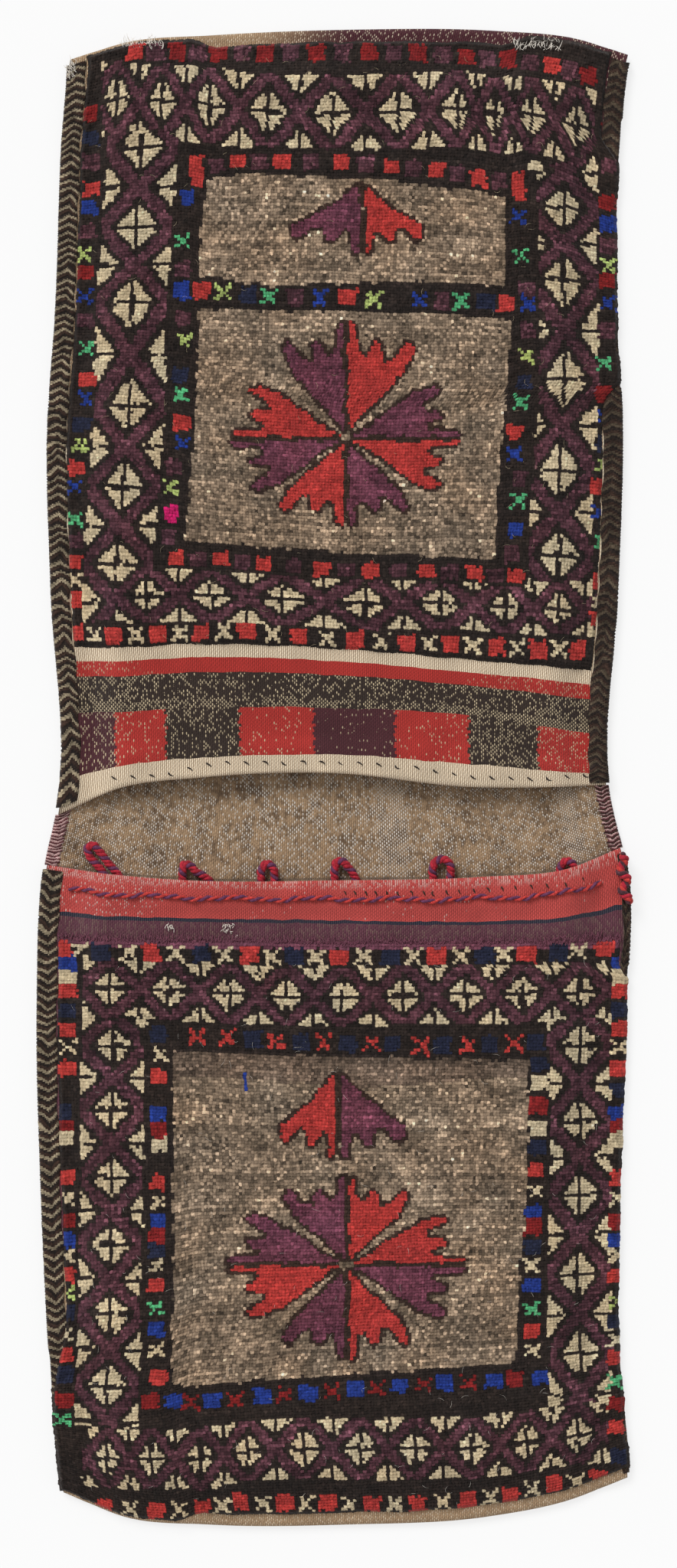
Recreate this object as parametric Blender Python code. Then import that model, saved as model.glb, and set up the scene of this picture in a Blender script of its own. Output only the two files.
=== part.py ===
"""A kilim saddle bag lying flat: one woven strip folded into two pouches that share a bridge.

Units are metres, +Z is up. The bag's length runs along Y, the upper pouch is at +Y, and the
origin is on the underside in the middle of the bridge, where the bag would lie on a saddle.
"""

import math
from functools import partial

import bmesh
import bpy
import numpy as np

# The strip
BAG_WIDTH = 0.490
UPPER_DEPTH = 0.646  # from the upper pouch's mouth to its fold
LOWER_DEPTH = 0.560
BRIDGE_LENGTH = 0.0925
UPPER_MOUTH_Y = 0.0497
CLOTH = 0.0026
PILE_HEIGHT = 0.0040
PILE_STEP = 0.0025  # the sloping side of the pile
HEM_DEPTH = 0.0160
FOLD_REACH = 0.0060  # how far the round of a bottom fold reaches
PILE_TO_FOLD = 0.0105

# How the pouches stand open
UPPER_PUFF = 0.0165
LOWER_PUFF = 0.0160
FOLD_PUFF = 0.0030
SIDE_RISE = 0.0440
FOLD_RISE = 0.0520
WAVE = 0.0009

# What is sewn on
CLEARANCE = 0.0003
LAYER_GAP = 0.0004
BINDING_WALL = 0.0020
BINDING_COVER = 0.0140  # how far the binding laps over the cloth
TUCKED_COVER = 0.0040  # the same where the seam has rolled under the face
BINDING_UNDER = 0.0110
WHIPPING_WALL = 0.0014
WHIPPING_COVER = 0.0095
EDGE_SLOPE = 0.0100  # over which the cloth rises off the floor to clear the binding
LOOP_CORD = 0.0076
MOUTH_CORD = 0.0052
TIE_CORD = 0.0080
TIE_LENGTH = 0.0400  # down the seam, from the corner of the mouth

# Bands of the two faces, as distances from the mouth
UPPER_BANDS = {
    "squares": 0.0160,
    "dark": 0.0565,
    "red": 0.0850,
    "cream": 0.0970,
    "pile": 0.1070,
}
LOWER_BANDS = {"cord": 0.0160, "navy": 0.0345, "purple": 0.0375, "pile": 0.0555}
GUARD = 0.0240  # the pile's outer row of squares, beside the binding
BORDER = 0.0610
INNER_GUARD = 0.0160
UPPER_FIELD = (0.1890, 0.3950)  # near and far edge of the main field, from the mouth
UPPER_PANEL = (0.4190, 0.5190)  # the small field above it
LOWER_FIELD = (0.1540, 0.4290)

COLOURS = {
    "cream": (0.60, 0.50, 0.34),
    "red": (0.42, 0.045, 0.035),
    "dark": (0.055, 0.040, 0.032),
    "aubergine": (0.060, 0.020, 0.028),
    "plum": (0.150, 0.045, 0.075),
    "navy": (0.015, 0.022, 0.055),
    "border": (0.075, 0.038, 0.040),
    "camel": (0.250, 0.180, 0.120),
    "brown weave": (0.270, 0.200, 0.120),
    "goat hair": (0.100, 0.078, 0.055),
    "loop red": (0.300, 0.035, 0.055),
}
UPPER_DYES = {"hem": "cream", "squares": "red", "dark": "dark", "red": "red", "cream": "cream"}
LOWER_DYES = {"hem": "red", "cord": "red", "navy": "navy", "purple": "plum"}
SQUARE_DYES = ("aubergine", "red", "dark", "red")  # from the left seam, over and over
STAR_REACH = 0.1000  # half the width of the red and plum star in each main field
WOOL_ROUGHNESS = 0.92

HALF = BAG_WIDTH / 2
LOWER_MOUTH_Y = UPPER_MOUTH_Y - BRIDGE_LENGTH
EDGE_INSET = BINDING_WALL + CLEARANCE
LIFT = BINDING_WALL + CLEARANCE
MARGIN = BINDING_COVER + 2 * CLEARANCE

# The hand-woven outline: how far each side edge stands off a straight one, along the bag's
# length, and how far each row of weft stands off its middle, across the bag's width.
EDGE_ALONG = (-1.0, -0.9, -0.75, -0.5, -0.25, -0.05, 0.05, 0.3, 0.5, 0.65, 0.85, 0.97, 1.0)
LEFT_WANDER = (
    0.008, 0.000, -0.006, -0.013, -0.016, -0.010, 0.003, -0.004, -0.007, 0.000, 0.005, 0.010, 0.009
)
RIGHT_WANDER = (
    0.010, 0.007, -0.001, 0.000, 0.005, 0.005, -0.010, -0.003, 0.001, -0.003, -0.001, 0.009, 0.016
)
ROW_ACROSS = (-1.0, -0.8, -0.5, 0.0, 0.5, 0.8, 1.0)
UPPER_ROWS = {
    0.0: (-0.036, -0.014, -0.004, 0.0, -0.012, -0.012, -0.010),
    UPPER_BANDS["squares"]: (-0.022, -0.010, -0.003, 0.0, -0.008, -0.014, -0.017),
    UPPER_BANDS["pile"]: (0.002, 0.001, 0.004, 0.0, -0.010, -0.016, -0.020),
    UPPER_FIELD[0]: (0.014, 0.012, 0.008, 0.0, -0.001, -0.005, -0.009),
    UPPER_FIELD[1]: (0.004, 0.003, 0.002, 0.0, -0.003, -0.005, -0.007),
    UPPER_PANEL[1]: (-0.011, -0.008, -0.002, 0.0, -0.005, -0.018, -0.033),
    UPPER_DEPTH: (-0.026, -0.011, -0.005, 0.0, -0.001, -0.008, -0.022),
}
LOWER_ROWS = {
    0.0: (0.013, 0.006, 0.0, 0.0, 0.003, 0.010, 0.028),
    LOWER_BANDS["navy"]: (0.008, 0.004, 0.002, 0.0, -0.001, 0.003, 0.014),
    LOWER_BANDS["pile"]: (0.003, 0.002, 0.001, 0.0, 0.0, 0.001, 0.002),
    LOWER_FIELD[0]: (0.008, 0.007, 0.005, 0.0, -0.001, -0.003, -0.004),
    LOWER_FIELD[1]: (-0.015, -0.012, -0.008, 0.0, 0.006, 0.012, 0.017),
    LOWER_DEPTH: (0.028, 0.007, 0.0, 0.0, 0.007, 0.022, 0.041),
}

ROW_STEP = 0.050  # between rows of the mesh
COLUMN_STEP = 0.054
BRIDGE_SHARES = (0.0, 0.33, 0.67, 1.0)
ARC_STEPS = 5


def curve_through(knots, values, at):
    """A smooth line through (knot, value) pairs: a cubic between neighbours, with their slopes."""
    knots = np.asarray(knots, float)
    values = np.asarray(values, float)
    slopes = np.gradient(values, knots, axis=0)
    i = np.clip(np.searchsorted(knots, at) - 1, 0, len(knots) - 2)
    span = knots[i + 1] - knots[i]
    t = np.clip((at - knots[i]) / span, 0, 1)
    start = (1 + 2 * t) * (1 - t) ** 2 * values[i] + t * (1 - t) ** 2 * span * slopes[i]
    end = t * t * (3 - 2 * t) * values[i + 1] + t * t * (t - 1) * span * slopes[i + 1]
    return start + end


def ease(x):
    """0 below 0, 1 above 1, and a smooth step between."""
    x = np.clip(x, 0, 1)
    return x * x * (3 - 2 * x)


class Pouch:
    """One pouch: where its rows of weft lie, and how high its face stands over its back."""

    def __init__(self, way, mouth_y, depth, rows, bands, puff, dyes, fields):
        self.way = way  # +1 for the pouch at +Y
        self.mouth_y = mouth_y
        self.depth = depth
        self.row_at = list(rows)
        self.rows = list(rows.values())
        self.bands = bands
        self.puff = puff
        self.dyes = dyes
        self.fields = fields  # the main field first

    def y(self, u, v):
        """Height on the plan of the point u across (-1 to 1) and v in from the mouth."""
        sags = [curve_through(ROW_ACROSS, row, u) for row in self.rows]
        sag = curve_through(self.row_at, sags, v)
        return self.mouth_y + self.way * v + sag

    def pile(self, u, v):
        """Thickness that the pile adds, 0 on the flat-woven parts."""
        from_mouth = ease((v - self.bands["pile"]) / PILE_STEP)
        to_fold = ease((self.depth - PILE_TO_FOLD - v) / PILE_STEP)
        return PILE_HEIGHT * from_mouth * to_fold * ease((edge_distance(u) - MARGIN) / PILE_STEP)

    def gap(self, u, v):
        """Clear height between the back and the face."""
        hem = 1 - ease((v - HEM_DEPTH - CLOTH) / HEM_DEPTH)
        closed = LAYER_GAP + (CLOTH + LAYER_GAP) * hem
        across = ease((edge_distance(u) - MARGIN) / SIDE_RISE)
        along = ease((self.depth - FOLD_REACH - v) / FOLD_RISE)
        ripple = WAVE * np.sin(2 * math.pi * (u * 1.3 + v / 0.21)) * np.sin(2 * math.pi * v / 0.37)
        return closed + across * (FOLD_PUFF + (self.puff - FOLD_PUFF + ripple) * along)


def edge_distance(u):
    """Distance in from the nearer side edge, on a bag of even width."""
    return (1 - abs(u)) * HALF


def side_x(y, wander, side, inset):
    """The side edge at y, moved in by inset."""
    reach = np.where(y > 0, UPPER_MOUTH_Y + UPPER_DEPTH, LOWER_DEPTH - LOWER_MOUTH_Y)
    return side * (HALF - inset) + curve_through(EDGE_ALONG, wander, np.clip(y / reach, -1, 1))


def plan_x(u, y):
    left = side_x(y, LEFT_WANDER, -1, EDGE_INSET)
    right = side_x(y, RIGHT_WANDER, 1, EDGE_INSET)
    return left + (u + 1) / 2 * (right - left)


def under(u):
    """The underside of the back: on the floor, and lifted at the sides to clear the sewing."""
    return LIFT * (1 - ease((edge_distance(u) - MARGIN) / EDGE_SLOPE))


UPPER = Pouch(
    1, UPPER_MOUTH_Y, UPPER_DEPTH, UPPER_ROWS, UPPER_BANDS, UPPER_PUFF, UPPER_DYES, (UPPER_FIELD, UPPER_PANEL)
)
LOWER = Pouch(
    -1, LOWER_MOUTH_Y, LOWER_DEPTH, LOWER_ROWS, LOWER_BANDS, LOWER_PUFF, LOWER_DYES, (LOWER_FIELD,)
)


def face_under(pouch, u, v):
    """The inside surface of the face, over the pocket."""
    return under(u) + CLOTH + pouch.gap(u, v)


def face_top(pouch, u, v):
    return face_under(pouch, u, v) + CLOTH + pouch.pile(u, v)


def even_stops(start, end, step):
    return np.linspace(start, end, max(2, math.ceil(abs(end - start) / step) + 1))


def merged(*groups):
    """All stops in order, without those that nearly coincide."""
    stops = np.sort(np.concatenate([np.atleast_1d(g) for g in groups]))
    keep = np.append(True, np.diff(stops) > LAYER_GAP)
    return stops[keep]


def columns():
    """Where the mesh is divided across: at the margins, the steps of the pile and the borders."""
    frames = MARGIN + np.array([0, PILE_STEP, GUARD, GUARD + BORDER, GUARD + BORDER + INNER_GUARD])
    slope = MARGIN + SIDE_RISE * np.array([0.25, 1.0])
    left = merged(0, frames, slope)
    middle = even_stops(left[-1], BAG_WIDTH - left[-1], COLUMN_STEP)
    return merged(left, middle, BAG_WIDTH - left) / HALF - 1


def pouch_stops(pouch):
    """Distances from the mouth at which both layers of a pouch are divided."""
    last = pouch.depth - FOLD_REACH
    step_in = pouch.bands["pile"] + PILE_STEP
    step_out = pouch.depth - PILE_TO_FOLD - PILE_STEP
    start = CLOTH + LAYER_GAP / 2
    bands = [start, HEM_DEPTH + CLOTH, *pouch.bands.values()]
    return merged(bands, even_stops(step_in, step_out, ROW_STEP), step_out + PILE_STEP, last)


def on_plan(pouch, u, v, z):
    """The point at u, v on the plan and z high, for whole arrays of u."""
    y = pouch.y(u, v)
    return np.stack([plan_x(u, y), y, np.broadcast_to(z, np.shape(u))], axis=-1)


def hem_rows(pouch, u):
    """The turned-under hem, from its free edge round the mouth: (outer, inner) rows of points."""
    turn = CLOTH + LAYER_GAP / 2
    rows = []
    for v in (HEM_DEPTH, HEM_DEPTH / 2, turn):
        ceiling = face_under(pouch, u, v) - LAYER_GAP
        rows.append((on_plan(pouch, u, v, ceiling - CLOTH), on_plan(pouch, u, v, ceiling)))
    middle = face_under(pouch, u, turn) - LAYER_GAP / 2
    for k in range(1, ARC_STEPS):
        angle = math.pi * (k / ARC_STEPS - 0.5)
        ends = []
        for radius in (turn, LAYER_GAP / 2):
            v = turn - radius * math.cos(angle)
            ends.append(on_plan(pouch, u, v, middle + radius * math.sin(angle)))
        rows.append(tuple(ends))
    return rows


def face_rows(pouch, u):
    rows = []
    for v in pouch_stops(pouch):
        outer = on_plan(pouch, u, v, face_top(pouch, u, v))
        rows.append((outer, on_plan(pouch, u, v, face_under(pouch, u, v))))
    return rows


def fold_rows(pouch, u):
    """The round fold at the pouch's bottom, from the face down to the back."""
    start = pouch.depth - FOLD_REACH
    high, low = face_top(pouch, u, start), under(u)
    inner_high, inner_low = face_under(pouch, u, start), under(u) + CLOTH
    rows = []
    for k in range(1, ARC_STEPS):
        angle = math.pi * (0.5 - k / ARC_STEPS)
        reach, rise = math.cos(angle), math.sin(angle)
        outer_z = (high + low) / 2 + (high - low) / 2 * rise
        inner_z = (inner_high + inner_low) / 2 + (inner_high - inner_low) / 2 * rise
        outer = on_plan(pouch, u, start + FOLD_REACH * reach, outer_z)
        inner = on_plan(pouch, u, start + (FOLD_REACH - CLOTH) * reach, inner_z)
        rows.append((outer, inner))
    return rows


def back_rows(u):
    """The back, from the upper fold to the lower one, with the bridge in the middle."""
    lines = [UPPER.y(u, v) for v in pouch_stops(UPPER)[::-1]]
    lines += [bridge_y(u, share) for share in BRIDGE_SHARES]
    lines += [LOWER.y(u, v) for v in pouch_stops(LOWER)]
    rows = []
    for y in lines:
        flat = [plan_x(u, y), y, under(u)]
        rows.append((np.stack(flat, -1), np.stack(flat, -1) + (0, 0, CLOTH)))
    return rows


def bridge_y(u, share):
    """The row of weft that lies a share of the way down the bridge."""
    top, bottom = UPPER.y(u, 0.0), LOWER.y(u, 0.0)
    return top + (bottom - top) * share


def face_dyes(pouch, u):
    """The dyes of a face, row by row and column by column, as dye names: the bands of flat weave
    from the mouth in, then the pile's guard, border and inner guard round the camel fields."""
    stops = pouch_stops(pouch)
    middles = (u[1:] + u[:-1]) / 2
    named = {"hem": 0.0, **pouch.bands}
    rows = []
    for v in (stops[1:] + stops[:-1]) / 2:
        band = [name for name, start in named.items() if start <= v][-1]
        if band == "squares":
            rows.append([SQUARE_DYES[j % len(SQUARE_DYES)] for j in range(len(middles))])
        elif band != "pile":
            rows.append([pouch.dyes[band]] * len(middles))
        else:
            rows.append([pile_dye(pouch, x, v) for x in middles])
    return rows


def pile_dye(pouch, u, v):
    """The dye at u, v on the pile: the star in the main field, and frames towards the edge."""
    inset = edge_distance(u) - MARGIN
    if inset < GUARD:
        return "aubergine"
    if inset < GUARD + BORDER:
        return "border"
    if not any(near < v < far for near, far in pouch.fields):
        return "border"
    if inset < GUARD + BORDER + INNER_GUARD:
        return "dark"
    from_middle = v - sum(pouch.fields[0]) / 2
    if max(abs(u) * HALF, abs(from_middle)) > STAR_REACH:
        return "camel"
    return "red" if u * from_middle > 0 else "plum"


def sheet_mesh(name, rows, dyes):
    """A closed solid from (outer, inner) rows of points: two skins and the rim round them. dyes
    gives the colour of the outer skin between one row and the next, where it isn't plain."""
    slots = {colour: k for k, colour in enumerate(["brown weave", *COLOURS])}
    outer = np.array([pair[0] for pair in rows])
    inner = np.array([pair[1] for pair in rows])
    count, wide = outer.shape[:2]
    bm = bmesh.new()
    skins = []
    for skin in (outer, inner):
        skins.append([[bm.verts.new(p) for p in row] for row in skin])
    a, b = skins
    for i in range(count - 1):
        for j in range(wide - 1):
            outer_face = bm.faces.new((a[i][j], a[i + 1][j], a[i + 1][j + 1], a[i][j + 1]))
            outer_face.material_index = slots[dyes[i][j]] if i in dyes else 0
            bm.faces.new((b[i][j], b[i][j + 1], b[i + 1][j + 1], b[i + 1][j]))
        for j in (0, wide - 1):
            bm.faces.new((a[i][j], b[i][j], b[i + 1][j], a[i + 1][j]))
    for i in (0, count - 1):
        for j in range(wide - 1):
            bm.faces.new((a[i][j], a[i][j + 1], b[i][j + 1], b[i][j]))
    sheet = finished(name, bm)
    for colour in slots:
        sheet.data.materials.append(material(colour))
    return sheet


def finished(name, bm):
    """The mesh object of bm, with its faces turned outwards."""
    bmesh.ops.recalc_face_normals(bm, faces=bm.faces)
    mesh = bpy.data.meshes.new(name)
    bm.to_mesh(mesh)
    bm.free()
    mesh.shade_smooth()
    mesh.set_sharp_from_angle(angle=math.radians(40))
    obj = bpy.data.objects.new(name, mesh)
    bag.objects.link(obj)
    return obj


def material(colour):
    """The wool of that colour, made once."""
    if colour in bpy.data.materials:
        return bpy.data.materials[colour]
    made = bpy.data.materials.new(colour)
    made.use_nodes = True
    shader = made.node_tree.nodes["Principled BSDF"]
    shader.inputs["Base Color"].default_value = (*COLOURS[colour], 1)
    shader.inputs["Roughness"].default_value = WOOL_ROUGHNESS
    shader.inputs["Metallic"].default_value = 0
    return made


def woven_body():
    """The strip: hem, face, fold, back and bridge, fold, face, hem, all one piece."""
    u = columns()
    rows, dyes = hem_rows(UPPER, u), {}
    for i, row in enumerate(face_dyes(UPPER, u), len(rows)):
        dyes[i] = row
    rows += face_rows(UPPER, u) + fold_rows(UPPER, u) + back_rows(u) + fold_rows(LOWER, u)[::-1]
    for i, row in enumerate(face_dyes(LOWER, u)[::-1], len(rows)):
        dyes[i] = row
    rows += face_rows(LOWER, u)[::-1] + hem_rows(LOWER, u)[::-1]
    return sheet_mesh("woven_body", rows, dyes)


def tube_mesh(name, sections, colour):
    """A closed solid through rings of points that all have the same number of corners."""
    bm = bmesh.new()
    rings = [[bm.verts.new(p) for p in ring] for ring in sections]
    size = len(rings[0])
    for a, b in zip(rings, rings[1:]):
        for j in range(size):
            k = (j + 1) % size
            bm.faces.new((a[j], a[k], b[k], b[j]))
    for ring in (rings[0], rings[-1]):
        half = size // 2
        for j in range(half - 1):
            bm.faces.new((ring[j], ring[j + 1], ring[size - 2 - j], ring[size - 1 - j]))
    obj = finished(name, bm)
    obj.data.materials.append(material(colour))
    return obj


def wrapped_section(row, side, high, cover, wall):
    """A C round the cloth's side edge, along one row of weft: its outside from the top lip round
    to the lower lip, then its inside back. row gives the row's y and high its upper skin."""
    skin = CLEARANCE + wall
    lap = min(cover, BINDING_UNDER)
    outside = [(cover, high + skin), (0.0, high + skin), (-skin * 0.8, high + CLEARANCE)]
    outside += [(-skin, (high + LIFT) / 2), (-skin * 0.8, LIFT - CLEARANCE)]
    outside += [(0.0, LIFT - skin), (lap, LIFT - skin)]
    inside = [(cover, high + CLEARANCE), (0.0, high + CLEARANCE), (-CLEARANCE, high)]
    inside += [(-CLEARANCE, (high + LIFT) / 2), (-CLEARANCE, LIFT)]
    inside += [(0.0, LIFT - CLEARANCE), (lap, LIFT - CLEARANCE)]
    ring = []
    for inset, z in outside + inside[::-1]:
        u = side * (1 - max(inset, 0) / HALF)
        y = row(u)
        ring.append((float(plan_x(u, y)) - side * min(inset, 0), float(y), z))
    return ring


def seam_binding(name, pouch, side, cover):
    """The overcast seam that closes one side of a pouch, from its mouth to its fold."""
    sections = []
    for v in pouch_stops(pouch):
        high = float(face_top(pouch, side, v))
        row = partial(pouch.y, v=v)
        sections.append(wrapped_section(row, side, high, cover, BINDING_WALL))
    return tube_mesh(name, sections, "goat hair")


def bridge_whipping(name, side):
    """The whipped edge of the bridge, between the two mouths."""
    sections = []
    for share in BRIDGE_SHARES:
        row = partial(bridge_y, share=share)
        sections.append(wrapped_section(row, side, LIFT + CLOTH, WHIPPING_COVER, WHIPPING_WALL))
    return tube_mesh(name, sections, "goat hair")


# Each closure loop: the side whose edge it is measured from, how far in from that edge its two
# legs and its tip lie, and how far the tip reaches beyond the lower mouth.
LOOPS = (
    (-1, (0.0440, 0.0550), 0.0300, 0.0240),
    (-1, (0.1120, 0.1290), 0.1130, 0.0110),
    (-1, (0.1790, 0.1890), 0.1840, 0.0130),
    (1, (0.2470, 0.2300), 0.2500, 0.0170),
    (1, (0.1620, 0.1490), 0.1570, 0.0160),
    (1, (0.0500, 0.0390), 0.0480, 0.0140),
)
LEG_INSIDE = 0.0200


def cord_object(name, points, diameter, colour, resolution=2):
    """A round cord along the points, as a curve with a bevel and filled caps."""
    curve = bpy.data.curves.new(name, "CURVE")
    curve.dimensions = "3D"
    curve.bevel_depth = diameter / 2
    curve.bevel_resolution = resolution
    curve.use_fill_caps = True
    spline = curve.splines.new("POLY")
    spline.points.add(len(points) - 1)
    for spot, place in zip(spline.points, points):
        spot.co = (*place, 1)
    curve.materials.append(material(colour))
    obj = bpy.data.objects.new(name, curve)
    bag.objects.link(obj)
    return obj


def closure_loop(name, side, leg_insets, tip_inset, reach):
    """A bight of plied cord that comes out of the lower mouth and lies on the bridge."""
    left, right = (side * (HALF - inset) for inset in leg_insets)
    tip_x = side * (HALF - tip_inset)
    bulge = LOOP_CORD * 0.62
    mouth = [float(LOWER.y(np.float64(x / HALF), 0.0)) for x in (left, right)]
    rest_z = CLOTH + CLEARANCE + LOOP_CORD / 2
    out_y = max(mouth) + reach - LOOP_CORD / 2
    inner_left = min(left, (left + right) / 2 - bulge)
    inner_right = max(right, (left + right) / 2 + bulge)
    path = np.array(
        [
            (inner_left, mouth[0] - LEG_INSIDE),
            (inner_left, mouth[0] - LEG_INSIDE / 3),
            (tip_x - bulge, out_y - bulge * 0.9),
            (tip_x - bulge * 0.6, out_y),
            (tip_x + bulge * 0.6, out_y),
            (tip_x + bulge, out_y - bulge * 0.9),
            (inner_right, mouth[1] - LEG_INSIDE / 3),
            (inner_right, mouth[1] - LEG_INSIDE),
        ]
    )
    along = np.append(0, np.cumsum(np.linalg.norm(np.diff(path, axis=0), axis=1)))
    at = even_stops(0, along[-1], LOOP_CORD * 0.6)
    points = [(*(curve_through(along, path[:, k], s) for k in (0, 1)), rest_z) for s in at]
    return cord_object(name, points, LOOP_CORD, "loop red")


def mouth_cord():
    """The plied cord sewn along the lower mouth's hem, from seam to seam."""
    inset = LOWER.bands["cord"]
    across = columns()
    points = []
    for u in across[edge_distance(across) > MARGIN + PILE_STEP]:
        y = float(LOWER.y(u, inset))
        top = float(face_top(LOWER, u, inset))
        points.append((float(plan_x(u, y)), y, top + LAYER_GAP + MOUTH_CORD / 2))
    return cord_object("mouth_cord", points, MOUTH_CORD, "loop red")


def corner_tie():
    """The end of the mouth cord, knotted over the seam at the right-hand corner of the mouth."""
    side = 1 - TUCKED_COVER / 2 / HALF
    stops = pouch_stops(LOWER)
    points = []
    for v in stops[stops < TIE_LENGTH]:
        y = float(LOWER.y(side, v))
        seam_top = float(face_top(LOWER, side, v)) + CLEARANCE + BINDING_WALL
        points.append((float(plan_x(side, y)), y, seam_top + CLEARANCE + TIE_CORD / 2))
    return cord_object("corner_tie", points, TIE_CORD, "loop red")


for old in list(bpy.data.objects):
    bpy.data.objects.remove(old)
bag = bpy.data.collections.new("kilim saddle bag")
bpy.context.scene.collection.children.link(bag)

woven_body()
seam_binding("seam_binding_upper_left", UPPER, -1, BINDING_COVER)
seam_binding("seam_binding_upper_right", UPPER, 1, BINDING_COVER)
seam_binding("seam_binding_lower_left", LOWER, -1, BINDING_COVER)
seam_binding("seam_binding_lower_right", LOWER, 1, TUCKED_COVER)
bridge_whipping("bridge_whipping_left", -1)
bridge_whipping("bridge_whipping_right", 1)
mouth_cord()
corner_tie()
for number, loop in enumerate(LOOPS, 1):
    closure_loop(f"closure_loop_{number}", *loop)
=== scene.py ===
"""The kilim saddle bag's looks: knotted pile, flat weave, overcast seams, plied cords and loose warps."""

import math

import bpy
import numpy as np
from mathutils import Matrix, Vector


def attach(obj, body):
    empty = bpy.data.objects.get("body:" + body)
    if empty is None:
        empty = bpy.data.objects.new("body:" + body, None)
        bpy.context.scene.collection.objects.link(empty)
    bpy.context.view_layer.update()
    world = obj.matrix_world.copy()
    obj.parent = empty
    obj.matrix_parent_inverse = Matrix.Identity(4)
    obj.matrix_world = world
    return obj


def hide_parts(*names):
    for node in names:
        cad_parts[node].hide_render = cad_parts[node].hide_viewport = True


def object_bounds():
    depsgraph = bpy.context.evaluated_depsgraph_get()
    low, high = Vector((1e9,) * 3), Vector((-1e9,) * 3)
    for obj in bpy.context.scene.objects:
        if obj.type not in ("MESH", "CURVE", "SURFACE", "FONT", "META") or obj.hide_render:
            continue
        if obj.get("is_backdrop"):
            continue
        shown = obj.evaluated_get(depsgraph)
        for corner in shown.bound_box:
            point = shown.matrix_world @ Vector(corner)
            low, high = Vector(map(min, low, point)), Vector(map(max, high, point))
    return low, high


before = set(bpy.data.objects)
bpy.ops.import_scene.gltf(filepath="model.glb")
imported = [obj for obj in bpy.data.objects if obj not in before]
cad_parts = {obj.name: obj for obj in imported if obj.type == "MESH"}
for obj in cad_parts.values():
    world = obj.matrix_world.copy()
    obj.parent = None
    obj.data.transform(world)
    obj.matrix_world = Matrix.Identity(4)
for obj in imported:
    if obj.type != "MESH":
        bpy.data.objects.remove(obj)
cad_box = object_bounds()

# Sizes, in metres, as the solids have them
BAG_WIDTH = 0.490
UPPER_DEPTH = 0.646
LOWER_DEPTH = 0.560
BRIDGE_LENGTH = 0.0925
UPPER_MOUTH_Y = 0.0497
CLOTH = 0.0026
PILE_HEIGHT = 0.0040
HEM_DEPTH = 0.0160
FOLD_REACH = 0.0060
PILE_TO_FOLD = 0.0105
UPPER_PUFF = 0.0165
LOWER_PUFF = 0.0160
FOLD_PUFF = 0.0030
SIDE_RISE = 0.0440
FOLD_RISE = 0.0520
WAVE = 0.0009
CLEARANCE = 0.0003
LAYER_GAP = 0.0004
BINDING_WALL = 0.0020
BINDING_COVER = 0.0140
TUCKED_COVER = 0.0040
BINDING_UNDER = 0.0110
WHIPPING_WALL = 0.0014
WHIPPING_COVER = 0.0095
EDGE_SLOPE = 0.0100
LOOP_CORD = 0.0076
MOUTH_CORD = 0.0052
TIE_CORD = 0.0080
UPPER_BANDS = {"squares": 0.0160, "dark": 0.0565, "red": 0.0850, "cream": 0.0970, "pile": 0.1070}
LOWER_BANDS = {"cord": 0.0160, "navy": 0.0345, "purple": 0.0375, "pile": 0.0520}

HALF = BAG_WIDTH / 2
LOWER_MOUTH_Y = UPPER_MOUTH_Y - BRIDGE_LENGTH
EDGE_INSET = BINDING_WALL + CLEARANCE
LIFT = BINDING_WALL + CLEARANCE
MARGIN = BINDING_COVER + 2 * CLEARANCE
KNOT = 0.00265
CHART = 0.000663  # one step of the weaver's chart, a quarter of a knot
CHART_ORIGIN = (442, 1085)  # the middle of the bridge on the chart

EDGE_ALONG = (-1.0, -0.9, -0.75, -0.5, -0.25, -0.05, 0.05, 0.3, 0.5, 0.65, 0.85, 0.97, 1.0)
LEFT_WANDER = (0.008, 0.000, -0.006, -0.013, -0.016, -0.010, 0.003, -0.004, -0.007, 0.000, 0.005, 0.010, 0.009)
RIGHT_WANDER = (0.010, 0.007, -0.001, 0.000, 0.005, 0.005, -0.010, -0.003, 0.001, -0.003, -0.001, 0.009, 0.016)
ROW_ACROSS = (-1.0, -0.8, -0.5, 0.0, 0.5, 0.8, 1.0)
UPPER_ROWS = {
    0.0: (-0.036, -0.014, -0.004, 0.0, -0.012, -0.012, -0.010),
    0.0160: (-0.022, -0.010, -0.003, 0.0, -0.008, -0.014, -0.017),
    0.1070: (0.002, 0.001, 0.004, 0.0, -0.010, -0.016, -0.020),
    0.1890: (0.014, 0.012, 0.008, 0.0, -0.001, -0.005, -0.009),
    0.3950: (0.004, 0.003, 0.002, 0.0, -0.003, -0.005, -0.007),
    0.5190: (-0.011, -0.008, -0.002, 0.0, -0.005, -0.018, -0.033),
    0.6460: (-0.026, -0.011, -0.005, 0.0, -0.001, -0.008, -0.022),
}
LOWER_ROWS = {
    0.0: (0.013, 0.006, 0.0, 0.0, 0.003, 0.010, 0.028),
    0.0345: (0.008, 0.004, 0.002, 0.0, -0.001, 0.003, 0.014),
    0.0555: (0.003, 0.002, 0.001, 0.0, 0.0, 0.001, 0.002),
    0.1540: (0.008, 0.007, 0.005, 0.0, -0.001, -0.003, -0.004),
    0.4290: (-0.015, -0.012, -0.008, 0.0, 0.006, 0.012, 0.017),
    0.5600: (0.028, 0.007, 0.0, 0.0, 0.007, 0.022, 0.041),
}

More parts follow.
